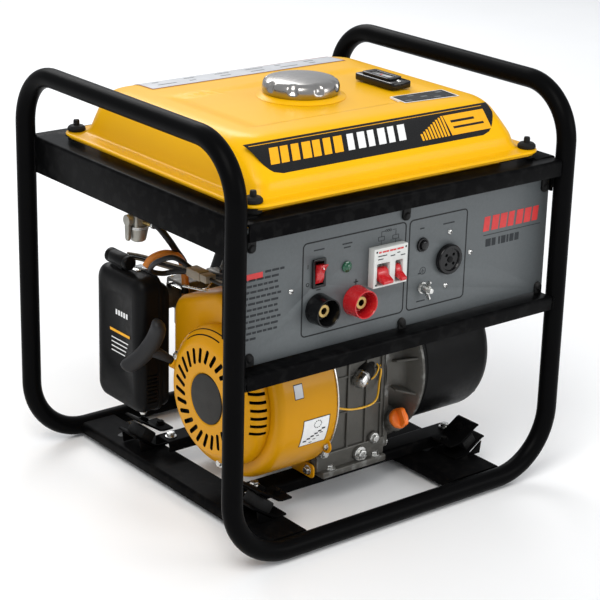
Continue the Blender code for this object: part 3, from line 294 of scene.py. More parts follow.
class Piece:
    """A visible piece that gathers closed shapes, each with its own material."""

    def __init__(self, name, body=ROOT):
        self.name, self.body = name, body
        self.mesh, self.mats = bmesh.new(), []

    def take(self, bm, mat, place=None, edge=0.0, steps=2, angle=30):
        """Add a shape, with its sharp edges rounded off."""
        bmesh.ops.recalc_face_normals(bm, faces=bm.faces)
        if edge:
            sharp = [e for e in bm.edges
                     if len(e.link_faces) == 2 and e.calc_face_angle() > math.radians(angle)]
            bmesh.ops.bevel(bm, geom=sharp, offset=edge, segments=steps, profile=0.5, affect="EDGES",
                            clamp_overlap=True)
        if place is not None:
            bmesh.ops.transform(bm, matrix=place, verts=bm.verts)
        if mat not in self.mats:
            self.mats.append(mat)
        for face in bm.faces:
            face.material_index = self.mats.index(mat)
            face.smooth = True
        shape = bpy.data.meshes.new("shape")
        bm.to_mesh(shape)
        bm.free()
        self.mesh.from_mesh(shape)
        bpy.data.meshes.remove(shape)
        return self

    def block(self, lo, hi, mat, edge=0.0005, steps=2, turn=None):
        bm = bmesh.new()
        bmesh.ops.create_cube(bm, size=1)
        lo, hi = Vector(lo), Vector(hi)
        bmesh.ops.scale(bm, vec=hi - lo, verts=bm.verts)
        spin = turn if turn is not None else Matrix.Identity(4)
        return self.take(bm, mat, Matrix.Translation((lo + hi) / 2) @ spin, edge, steps)

    def rod(self, start, end, radius, mat, edge=0.0, sides=32):
        start, end = Vector(start), Vector(end)
        bm = bmesh.new()
        bmesh.ops.create_cone(bm, cap_ends=True, segments=sides, radius1=radius,
                              radius2=radius, depth=(end - start).length)
        place = Matrix.Translation((start + end) / 2) @ aim(end - start)
        return self.take(bm, mat, place, edge, angle=50)

    def loft(self, rings, mat, place=None, edge=0.0, closed=False):
        """A skin through rings of equal point count; closed joins the last ring to the first."""
        bm = bmesh.new()
        loops = [[bm.verts.new(p) for p in ring] for ring in rings]
        pairs = list(zip(loops, loops[1:])) + ([(loops[-1], loops[0])] if closed else [])
        for low, high in pairs:
            count = len(low)
            for i in range(count):
                j = (i + 1) % count
                bm.faces.new((low[i], low[j], high[j], high[i]))
        if not closed:
            bm.faces.new(loops[0])
            bm.faces.new(loops[-1])
        bmesh.ops.remove_doubles(bm, verts=bm.verts, dist=5e-6)
        return self.take(bm, mat, place, edge)

    def turned(self, profile, origin, axis, mat, sides=64, shape=None):
        """Turn a profile of (radius, height) points; shape(angle, radius, height) may vary the radius."""
        def ring(radius, height):
            points = []
            for i in range(sides):
                a = 2 * math.pi * i / sides
                r = shape(a, radius, height) if shape else radius
                points.append((r * math.cos(a), r * math.sin(a), height))
            return points
        rings = [ring(max(radius, 1e-6), height) for radius, height in profile]
        hollow = profile[0][0] > 0 and profile[-1][0] > 0
        place = Matrix.Translation(Vector(origin)) @ aim(axis)
        return self.loft(rings, mat, place, closed=hollow)

    def tube(self, path, radius, mat, sides=16, closed=False):
        curve = bpy.data.curves.new("path", "CURVE")
        curve.dimensions = "3D"
        curve.bevel_depth = radius
        curve.bevel_resolution = (sides - 4) // 2
        curve.use_fill_caps = not closed
        spline = curve.splines.new("POLY")
        spline.points.add(len(path) - 1)
        for point, spot in zip(spline.points, path):
            point.co = (*spot, 1)
        spline.use_cyclic_u = closed
        return self.from_curve(curve, mat)

    def plate(self, outline, thickness, mat, place, holes=(), edge=0.0):
        """A flat plate with holes, its front face at the place's origin and its back below it."""
        curve = bpy.data.curves.new("outline", "CURVE")
        curve.dimensions = "2D"
        curve.fill_mode = "BOTH"
        curve.bevel_depth = edge
        curve.bevel_resolution = 1
        curve.extrude = thickness / 2 - edge
        curve.offset = -edge
        for loop in (outline, *holes):
            spline = curve.splines.new("POLY")
            spline.points.add(len(loop) - 1)
            for point, spot in zip(spline.points, loop):
                point.co = (spot[0], spot[1], 0, 1)
            spline.use_cyclic_u = True
        return self.from_curve(curve, mat, place @ Matrix.Translation((0, 0, -thickness / 2)))

    def from_curve(self, curve, mat, place=None):
        temp = bpy.data.objects.new("temp", curve)
        bpy.context.scene.collection.objects.link(temp)
        mesh = bpy.data.meshes.new_from_object(temp.evaluated_get(bpy.context.evaluated_depsgraph_get()))
        bpy.data.objects.remove(temp, do_unlink=True)
        bpy.data.curves.remove(curve)
        bm = bmesh.new()
        bm.from_mesh(mesh)
        bpy.data.meshes.remove(mesh)
        bmesh.ops.remove_doubles(bm, verts=bm.verts, dist=1e-6)
        return self.take(bm, mat, place)

    def bolt(self, at, axis, radius, mat, head=None, washer=True, turn=0.0):
        """A hexagon bolt head on its washer, standing out of a face along the axis."""
        at, out = Vector(at), Vector(axis).normalized()
        head = radius * 0.75 if head is None else head
        if washer:
            self.rod(at, at + out * radius * 0.22, radius * 1.30, mat, edge=radius * 0.06)
            at = at + out * radius * 0.22
        bm = bmesh.new()
        bmesh.ops.create_cone(bm, cap_ends=True, segments=6, radius1=radius, radius2=radius, depth=head)
        place = Matrix.Translation(at + out * head / 2) @ aim(out) @ Matrix.Rotation(turn, 4, "Z")
        self.take(bm, mat, place, edge=radius * 0.12)
        return self.rod(at + out * head * 0.97, at + out * head * 1.06, radius * 0.62, mat)

    def screw(self, at, axis, radius, mat):
        """A domed cross-head screw standing out of a face along the axis."""
        at, out = Vector(at), Vector(axis).normalized()
        profile = [(0, 0.62)] + [(math.sin(a), 0.62 * math.cos(a))
                                 for a in (math.radians(15 * k) for k in range(1, 6))] + [(1.0, 0), (0, 0)]
        self.turned([(r * radius, h * radius) for r, h in profile], at, out, mat, 24)
        # the cross recess is two thin dark bars laid on the dome: painted shade standing in for the recess
        spin = facing(out)
        for turn in (0, math.pi / 2):
            bm = bmesh.new()
            bmesh.ops.create_cube(bm, size=1)
            bmesh.ops.scale(bm, vec=(radius * 1.0, radius * 0.2, radius * 0.1), verts=bm.verts)
            place = Matrix.Translation(at + out * radius * 0.60) @ spin @ Matrix.Rotation(turn, 4, "Z")
            self.take(bm, DARK_PRINT, place)
        return self

    def done(self, smooth=32, slot=None, replaces=(), cutters=()):
        mesh = bpy.data.meshes.new(self.name)
        self.mesh.to_mesh(mesh)
        self.mesh.free()
        obj = bpy.data.objects.new(self.name, mesh)
        bpy.context.scene.collection.objects.link(obj)
        for mat in self.mats:
            mesh.materials.append(mat)
        if cutters:
            obj = carved(obj, cutters)
        obj.data.set_sharp_from_angle(angle=math.radians(smooth))
        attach(obj, self.body)
        if replaces:
            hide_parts(*replaces)
        return obj


def carved(obj, cutters):
    """Cut pieces' shapes out of an object and apply the result."""
    tools = []
    for cutter in cutters:
        mesh = bpy.data.meshes.new("cutter")
        cutter.mesh.to_mesh(mesh)
        cutter.mesh.free()
        tool = bpy.data.objects.new("cutter", mesh)
        bpy.context.scene.collection.objects.link(tool)
        for mat in cutter.mats:
            mesh.materials.append(mat)
        mod = obj.modifiers.new("cut", "BOOLEAN")
        mod.operation, mod.object, mod.solver = "DIFFERENCE", tool, "EXACT"
        mod.material_mode = "TRANSFER"
        mod.use_self = True
        tools.append(tool)
    mesh = bpy.data.meshes.new_from_object(obj.evaluated_get(bpy.context.evaluated_depsgraph_get()))
    obj.modifiers.clear()
    old, obj.data = obj.data, mesh
    mesh.name = obj.name
    bpy.data.meshes.remove(old)
    for tool in tools:
        bpy.data.objects.remove(tool, do_unlink=True)
    return obj


def paint_node(node, mat):
    """Give a carried-over CAD node its finish."""
    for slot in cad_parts[node].material_slots:
        slot.material = mat


# ---------------------------------------------------------------- camera, floor and light
def make_camera():
    data = bpy.data.cameras.new("camera")
    data.lens, data.sensor_width = 113.61, 36.0
    data.clip_start, data.clip_end = 0.05, 60
    camera = bpy.data.objects.new("camera", data)
    bpy.context.scene.collection.objects.link(camera)
    spot = Vector((-1.25499, -1.59226, 0.92943))
    right = Vector((0.78723, -0.61615, 0.02523))
    up = Vector((0.19033, 0.28169, 0.94045))
    back = right.cross(up)
    camera.matrix_world = Matrix.Translation(spot) @ Matrix((right, up, back)).transposed().to_4x4()
    bpy.context.scene.camera = camera


def area_light(name, spot, target, size, power, color=(1, 1, 1)):
    data = bpy.data.lights.new(name, "AREA")
    data.shape, data.size, data.size_y = "RECTANGLE", size[0], size[1]
    data.energy, data.color = power, color
    light = bpy.data.objects.new(name, data)
    bpy.context.scene.collection.objects.link(light)
    spot, target = Vector(spot), Vector(target)
    light.location = spot
    light.rotation_euler = (spot - target).to_track_quat("Z", "Y").to_euler()


def make_studio():
    bm = bmesh.new()
    bmesh.ops.create_grid(bm, x_segments=8, y_segments=8, size=12)
    mesh = bpy.data.meshes.new("floor")
    bm.to_mesh(mesh)
    bm.free()
    mesh.materials.append(FLOOR)
    floor = bpy.data.objects.new("floor", mesh)
    floor.location.z = -0.0004
    bpy.context.scene.collection.objects.link(floor)
    world = bpy.data.worlds.new("studio")
    world.use_nodes = True
    sky = world.node_tree.nodes["Background"]
    sky.inputs["Color"].default_value = (0.93, 0.96, 1.0, 1)
    sky.inputs["Strength"].default_value = 0.62
    bpy.context.scene.world = world
    middle = (0, 0, 0.2)
    area_light("key", (-1.6, -1.2, 2.6), middle, (1.6, 1.6), 56, (1.0, 0.985, 0.96))
    area_light("front_fill", (1.6, -2.6, 1.1), middle, (1.6, 1.2), 26)
    area_light("back_rim", (0.6, 2.6, 2.2), middle, (2.4, 1.0), 46)
    bpy.context.scene.view_settings.view_transform = "Standard"


# ---------------------------------------------------------------- frame and base
def frame_path():
    """The whole tube's axis: two top hoops along Y joined by two floor runs along X."""
    corners = [(-1, -1, 0), (-1, -1, 1), (-1, 1, 1), (-1, 1, 0), (1, 1, 0), (1, 1, 1), (1, -1, 1), (1, -1, 0)]
    points = [(x * FRAME_X, y * FRAME_Y, FRAME_TOP if top else FRAME_LOW) for x, y, top in corners]
    radii = [BEND_TOP if top else BEND_LOW for _, _, top in corners]
    return bent(points, radii, 18, closed=True)


def make_frame():
    frame_tube = Piece("tube_frame")
    frame_tube.tube(frame_path(), TUBE_R, BLACK_PAINT, 36, closed=True)
    # weld beads where the rails meet the upright tubes
    for side in (-1, 1):
        for end in (-1, 1):
            for low, high in ((0.345, 0.378), (0.2065, 0.2195)):
                if low < 0.3 and end > 0:
                    continue
                x = side * (FRAME_X - TUBE_R * 0.80)
                y = end * (FRAME_Y - TUBE_R * 0.66) if low > 0.3 else -FRAME_Y - TUBE_R * 0.55
                path = [(x + 0.0004 * math.sin(k * 2.1), y + 0.0004 * math.cos(k * 1.7),
                         low + (high - low) * k / 14)
                        for k in range(15)]
                frame_tube.tube(path, 0.0017, BLACK_PAINT, 8)
    frame_tube.done(slot="frame_black", replaces=("left_hoop", "right_hoop", "front_skid", "back_skid"))


def folded_rail(piece, lo, hi, out, leg, mat):
    """An angle section: an upright web whose top edge folds inwards to a leg.

    out is the web's outward direction (an axis), lo and hi the web's end points at its foot and top.
    """
    thickness, fold = 0.0025, 0.0035
    lo, hi, out = Vector(lo), Vector(hi), Vector(out)
    along = Vector((hi.x - lo.x, hi.y - lo.y, 0)).normalized()
    length = Vector((hi.x - lo.x, hi.y - lo.y, 0)).length
    height = hi.z - lo.z
    outer = [(0, 0)] + [(fold - fold * math.cos(math.radians(a)), height - fold + fold * math.sin(math.radians(a)))
                        for a in range(0, 91, 15)] + [(leg, height)]
    small = max(fold - thickness, 0.0006)
    inner = [(leg, height - thickness)]
    inner += [(fold - small * math.cos(math.radians(a)), height - fold + small * math.sin(math.radians(a)))
              for a in range(90, -1, -15)] + [(thickness, 0)]
    section = outer + inner

    def ring(shift):
        base = Vector((lo.x, lo.y, lo.z)) + along * shift
        return [base - out * inset + Z * up for inset, up in section]
    piece.loft([ring(0), ring(length)], mat, edge=0.0005)


def make_rails():
    for name, side in (("left_side_rail", -1), ("right_side_rail", 1)):
        lo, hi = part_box(name)
        rail = Piece(name + "_folded")
        face = side * 0.219
        folded_rail(rail, (face, lo.y, lo.z), (face, hi.y, hi.z), (side, 0, 0), 0.030, BLACK_PAINT)
        rail.done(slot="frame_black", replaces=(name,))
    for name, side, leg in (("front_upper_rail", -1, 0.030), ("back_upper_rail", 1, 0.030),
                            ("front_lower_rail", -1, 0.030)):
        lo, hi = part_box(name)
        rail = Piece(name + "_folded")
        face = side * 0.205
        folded_rail(rail, (lo.x, face, lo.z), (hi.x, face, hi.z), (0, side, 0), leg, BLACK_PAINT)
        rail.done(slot="frame_black", replaces=(name,))


def make_base():
    for name in ("left_cross_plate", "right_cross_plate"):
        lo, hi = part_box(name)
        plate = Piece(name + "_folded")
        middle = (lo.x + hi.x) / 2
        half = (hi.x - lo.x) / 2
        fold, sheet = 0.004, 0.0025
        section = [(-half, lo.z)] + [(-half + fold - fold * math.cos(a), hi.z - fold + fold * math.sin(a))
                                     for a in (math.radians(15 * k) for k in range(7))]
        section += [(-x, z) for x, z in reversed(section)]
        inner = [(x * (half - sheet) / half, z - (sheet if z > lo.z else 0)) for x, z in section]
        section += list(reversed(inner))
        rings = [[Vector((middle + x, y, z)) for x, z in section] for y in (lo.y, hi.y)]
        plate.loft(rings, PLATE_PAINT, edge=0.0004)
        # slotted holes, one near each end, are drawn as flat dark patches on the plate's top: painted shade
        # standing in for the holes
        for y in (-0.105, 0.132):
            spot = Vector((middle, y, hi.z))
            plate.plate(rounded_rectangle(-0.010, 0.010, -0.004, 0.004, 0.0038), 0.0008, DARK_PRINT,
                        Matrix.Translation(spot + Z * 0.0002) @ Matrix.Rotation(0.4, 4, "Z"))
        plate.done(slot="frame_black", replaces=(name,))
    for name in ("front_bed_rail", "rear_bed_rail"):
        lo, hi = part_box(name)
        rail = Piece(name + "_channel")
        half, middle = (hi.y - lo.y) / 2, (hi.y + lo.y) / 2
        fold, sheet = 0.004, 0.0025
        section = [(-half, lo.z)] + [(-half + fold - fold * math.cos(a), hi.z - fold + fold * math.sin(a))
                                     for a in (math.radians(15 * k) for k in range(7))]
        section += [(-y, z) for y, z in reversed(section)]
        inner = [(y * (half - sheet) / half, z - (sheet if z > lo.z else 0)) for y, z in section]
        section += list(reversed(inner))
        rings = [[Vector((x, middle + y, z)) for y, z in section] for x in (lo.x, hi.x)]
        rail.loft(rings, PLATE_PAINT, edge=0.0004)
        for x in (-0.121, 0.158):
            rail.bolt((x, middle, hi.z), Z, 0.0052, ZINC, turn=0.3)
        rail.done(slot="frame_black", replaces=(name,))
    for side in ("left", "right"):
        for end in ("front", "back"):
            make_mount(f"engine_mount_{side}_{end}")
            make_foot(f"foot_{side}_{end}")


def make_mount(name):
    """An inclined rubber block between two bent plates that rise outwards."""
    lo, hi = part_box(name)
    middle = (lo + hi) / 2
    side = -1 if middle.x < 0 else 1
    mount = Piece(name + "_assembly")

    def bent_plate(path, half, mat, thickness=0.0024, edge=0.0005):
        """A strip along a path of (outwards, up) points, as wide as 2 * half."""
        rings = []
        for k, (x, z) in enumerate(path):
            (x0, z0), (x1, z1) = path[max(0, k - 1)], path[min(len(path) - 1, k + 1)]
            normal = Vector((z0 - z1, x1 - x0)).normalized() * thickness
            rings.append([Vector((middle.x + side * px, middle.y + py, lo.z + pz)) for px, pz, py in (
                (x, z, -half), (x, z, half), (x + normal.x, z + normal.y, half),
                (x + normal.x, z + normal.y, -half))])
        mount.loft(rings, mat, edge=edge)
    half = (hi.y - lo.y) / 2
    bent_plate([(-0.0200, 0.0001), (-0.0080, 0.0001), (-0.0020, 0.0018), (0.0225, 0.0178), (0.0250, 0.0180)],
               half + 0.001, PLATE_PAINT)
    bent_plate([(0.0010, 0.0056), (0.0160, 0.0154)], half - 0.002, RUBBER, 0.0130, 0.0016)
    bent_plate([(-0.0280, 0.0172), (-0.0150, 0.0172), (-0.0095, 0.0186), (0.0135, 0.0338), (0.0160, 0.0340)],
               half, PLATE_PAINT)
    for y in (-half - 0.0010, half + 0.0010):
        rings = [[Vector((middle.x + side * x, middle.y + y + t, lo.z + z)) for x, z in
                  ((-0.0010, 0.0004), (0.0180, 0.0004), (0.0200, 0.0150))] for t in (-0.0010, 0.0010)]
        mount.loft(rings, PLATE_PAINT, edge=0.0003)
    slope = Vector((-side * 0.55, 0, 0.835))
    mount.bolt(Vector((middle.x + side * 0.0020, middle.y, lo.z + 0.0290)), slope, 0.0050, PLATE_PAINT, turn=0.5,
               head=0.0034)
    mount.bolt(Vector((middle.x - side * 0.0215, middle.y, lo.z + 0.0196)), Z, 0.0042, PLATE_PAINT, head=0.0028)
    mount.done(slot="rubber", replaces=(name,))


def make_foot(name):
    lo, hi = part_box(name)
    middle = (lo + hi) / 2
    foot = Piece(name + "_rubber")
    height = hi.z - lo.z
    foot.turned([(0, height), (0.0127, height), (0.0130, height - 0.001), (0.0117, 0.0012), (0.0110, 0.0),
                 (0.0050, 0.0), (0.0042, 0.0030), (0, 0.0030)], (middle.x, middle.y, lo.z), Z, RUBBER, 40)
    foot.rod((middle.x, middle.y, 0.0029), (middle.x, middle.y, 0.0040), 0.0034, ZINC)
    foot.done(slot="rubber", replaces=(name,))


# ---------------------------------------------------------------- fuel tank
TANK_STEPS = (            # left, right, front and back insets, corner radius, height
    (0.0000, 0.0000, 0.0000, 0.0000, 0.022, 0.3885),
    (0.0004, 0.0004, 0.0004, 0.0004, 0.022, 0.3898),
    (0.0140, 0.0140, 0.0130, 0.0130, 0.018, 0.3903),
    (0.0182, 0.0176, 0.0160, 0.0165, 0.018, 0.3925),
    (0.0206, 0.0196, 0.0190, 0.0188, 0.019, 0.3975),
    (0.0225, 0.0210, 0.0220, 0.0210, 0.020, 0.4050),
    (0.0245, 0.0224, 0.0290, 0.0232, 0.021, 0.4130),
    (0.0265, 0.0240, 0.0370, 0.0255, 0.023, 0.4215),
    (0.0290, 0.0262, 0.0455, 0.0290, 0.025, 0.4300),
    (0.0320, 0.0292, 0.0520, 0.0325, 0.026, 0.4348),
    (0.0370, 0.0340, 0.0590, 0.0375, 0.026, 0.4384),
    (0.0440, 0.0410, 0.0665, 0.0445, 0.025, 0.4400),
    (0.0560, 0.0530, 0.0780, 0.0560, 0.023, 0.4406),
    (0.0900, 0.0870, 0.0980, 0.0850, 0.020, 0.4410),
    (0.1300, 0.1270, 0.1320, 0.1200, 0.018, 0.4414),
    (0.1660, 0.1630, 0.1660, 0.1540, 0.014, 0.4416))
TANK_X, TANK_FRONT, TANK_BACK = 0.200, -0.188, 0.165


def tank_step(place):
    """Insets, radius and height at a fractional step, on smooth curves through the steps."""
    k = min(int(place), len(TANK_STEPS) - 2)
    t = place - k
    a, b, c, d = (TANK_STEPS[max(0, min(len(TANK_STEPS) - 1, k + i))] for i in (-1, 0, 1, 2))
    return [0.5 * (2 * q + (r - p) * t + (2 * p - 5 * q + 4 * r - s) * t ** 2
                   + (3 * q - p - 3 * r + s) * t ** 3)
            for p, q, r, s in zip(a, b, c, d)]


def swage(x, y):
    """Depth of the pressed relief on the tank's top: a sunk field with a raised rim towards the back."""
    field = max(abs((x - 0.002) / 0.128), abs((y + 0.022) / 0.072)) ** 1.0
    edge = min(1.0, max(0.0, (1.04 - field) / 0.07))
    return -0.0022 * edge * edge * (3 - 2 * edge)


def tank_ring(place, steps=10):
    left, right, near, far, radius, height = tank_step(place)
    outline = rounded_rectangle(-TANK_X + left, TANK_X - right, TANK_FRONT + near, TANK_BACK - far, radius, steps)
    ring = []
    loop = outline + [outline[0]]
    for k, ((x0, y0), (x1, y1)) in enumerate(zip(loop, loop[1:])):
        runs = 24 if k % (steps + 1) == steps else 1
        ring += [(x0 + (x1 - x0) * i / runs, y0 + (y1 - y0) * i / runs) for i in range(runs)]
    return [(x, y, height + (swage(x, y) if place > 11 else 0)) for x, y in ring]


def make_tank():
    shell = Piece("tank_top_pressing")
    count = 16 * 5
    places = [i * (len(TANK_STEPS) - 1) / count for i in range(count + 1)]
    rings = [tank_ring(p, 12) for p in places]
    shell.loft(rings, TANK_YELLOW)
    # rolled seam along the flange's edge
    rim = rounded_rectangle(-TANK_X, TANK_X, TANK_FRONT, TANK_BACK, 0.022, 12)
    shell.tube([(x, y, 0.3880) for x, y in rim], 0.0016, TANK_YELLOW, 10, closed=True)
    # collar pressed up around the filler neck
    shell.turned([(0.050, 0.0), (0.0475, 0.0012), (0.0440, 0.0030), (0.0400, 0.0035), (0.0265, 0.0036),
                  (0.0265, 0.010), (0.0235, 0.010), (0.0235, -0.012), (0.030, -0.012)],
                 (CAP.x, CAP.y, 0.4396), Z, TANK_YELLOW, 72)
    # the bore cutter's dark print passes to the walls and floor of the filler hole: painted shade standing in for
    # the dark inside of the tank
    shell.done(smooth=50, slot="yellow_paint", replaces=("tank_shell",),
               cutters=(Piece("bore").rod((CAP.x, CAP.y, 0.42), (CAP.x, CAP.y, 0.46), 0.0232, DARK_PRINT),))
    paint_node("tank_pan", TANK_YELLOW)

    # rubber-bushed bolts through the flange's corners
    for i, (x, y) in enumerate(((-0.1865, -0.1745), (0.1865, -0.1745), (-0.1865, 0.1515), (0.1865, 0.1515))):
        bush = Piece(f"tank_bush_{i}")
        bush.turned([(0, 0.0125), (0.0030, 0.0120), (0.0035, 0.0100), (0.0035, 0.0062), (0.0078, 0.0056),
                     (0.0098, 0.0036), (0.0102, 0.0012), (0.0096, 0), (0, 0)], (x, y, 0.3905), Z, RUBBER, 40)
        bush.turned([(0, 0), (0.0095, 0), (0.0095, -0.0080), (0, -0.0080)], (x, y, 0.3885), Z, RUBBER, 32)
        bush.done(slot="rubber")


def make_cap():
    """A plated cap with soft finger dimples round the upper part of its skirt."""
    def notch(angle, radius, height):
        def ramp(value):
            value = max(0.0, min(1.0, value))
            return value * value * (3 - 2 * value)
        outside = ramp((radius - 0.0350) / 0.005)
        upper = outside * ramp((height - 0.0010) / 0.004) * ramp((0.0145 - height) / 0.003)
        wave = ramp((math.cos(angle * 9) - 0.30) / 0.7)
        return radius - 0.0026 * wave * upper
    cap = Piece("fuel_cap_plated", "filler_cap")
    profile = [(0, 0.0146), (0.012, 0.0145), (0.0230, 0.0140), (0.0310, 0.0133), (0.0350, 0.0127), (0.0375, 0.0120),
               (0.0394, 0.0110), (0.0408, 0.0097), (0.0418, 0.0080), (0.0424, 0.0062), (0.0427, 0.0045),
               (0.0428, 0.0028), (0.0428, 0.0010), (0.0424, -0.0012), (0.0412, -0.0026), (0.0405, -0.0035),
               (0.0275, -0.0035),
               (0.0275, 0.0060), (0, 0.0060)]
    cap.turned(profile, CAP, Z, CHROME, 216, shape=notch)
    cap.done(smooth=45, slot="chrome", replaces=("fuel_cap",))


def make_gauge():
    lo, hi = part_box("fuel_gauge")
    middle = (lo + hi) / 2
    gauge = Piece("fuel_gauge_body")
    half_x, half_y = (hi.x - lo.x) / 2, (hi.y - lo.y) / 2
    top = Matrix.Translation((middle.x, middle.y, hi.z - 0.0030))
    gauge.plate(rounded_rectangle(-half_x, half_x, -half_y, half_y, 0.004), hi.z - 0.0030 - lo.z, GLOSS_BLACK,
                top, edge=0.0012)
    rim = rounded_rectangle(-half_x + 0.004, half_x - 0.004, -half_y + 0.012, half_y - 0.008, 0.003)
    gap = rounded_rectangle(-0.0052, 0.0052, -0.0165, 0.0175, 0.0012)
    gauge.plate(rim, 0.0032, GLOSS_BLACK, Matrix.Translation((middle.x, middle.y, hi.z)), holes=(gap,), edge=0.0006)
    gauge.block((middle.x - 0.0054, middle.y - 0.0168, hi.z - 0.0034),
                (middle.x + 0.0054, middle.y + 0.0178, hi.z - 0.0012),
                CLEAR, 0.0003)
    gauge.block((middle.x - 0.0020, middle.y + 0.0020, hi.z - 0.0012),
                (middle.x + 0.0020, middle.y + 0.0040, hi.z - 0.0009),
                RED_PRINT, 0.0001)
    for k in range(5):
        y = middle.y - 0.013 + 0.0066 * k
        gauge.block((middle.x - 0.0048, y - 0.0003, hi.z - 0.0012), (middle.x - 0.0028, y + 0.0003, hi.z - 0.0010),
                    DARK_PRINT, 0)
    for y in (lo.y + 0.0060, hi.y - 0.0040):
        gauge.screw((middle.x, y, hi.z - 0.0030), Z, 0.0026, ZINC)
    gauge.done(slot="black_plastic", replaces=("fuel_gauge",))


def tank_front(x, along, lift=1.0):
    """A point on the tank's front skin; along runs from 0 at the slope's foot to 1 at its crest."""
    place = 5.57 + along * 3.75
    _, _, near, _, _, height = tank_step(place)
    _, _, near_b, _, _, height_b = tank_step(place + 0.05)
    out = Vector((0, -(height_b - height), near_b - near)).normalized()
    return Vector((x, TANK_FRONT + near, height)) + out * SKIN * lift


def slope_patch(piece, left, right, low, high, mat, lift=1.0, rows=10, columns=24):
    """A thin skin on the front slope. left and right give x at a height along the slope, from 0 to 1."""
    bm = bmesh.new()
    sheets = []
    for depth in (lift, lift - 0.6):
        grid = []
        for i in range(rows + 1):
            along = low + (high - low) * i / rows
            x0, x1 = left(along), right(along)
            grid.append([bm.verts.new(tank_front(x0 + (x1 - x0) * k / columns, along, depth))
                         for k in range(columns + 1)])
        sheets.append(grid)
    for grid in sheets:
        for a, b in zip(grid, grid[1:]):
            for k in range(columns):
                bm.faces.new((a[k], a[k + 1], b[k + 1], b[k]))
    front, back = sheets
    edge = [(0, k) for k in range(columns)] + [(i, columns) for i in range(rows)]
    edge += [(rows, k) for k in range(columns, 0, -1)] + [(i, 0) for i in range(rows, 0, -1)]
    for (i, k), (j, m) in zip(edge, edge[1:] + edge[:1]):
        bm.faces.new((front[i][k], front[j][m], back[j][m], back[i][k]))
    piece.take(bm, mat)


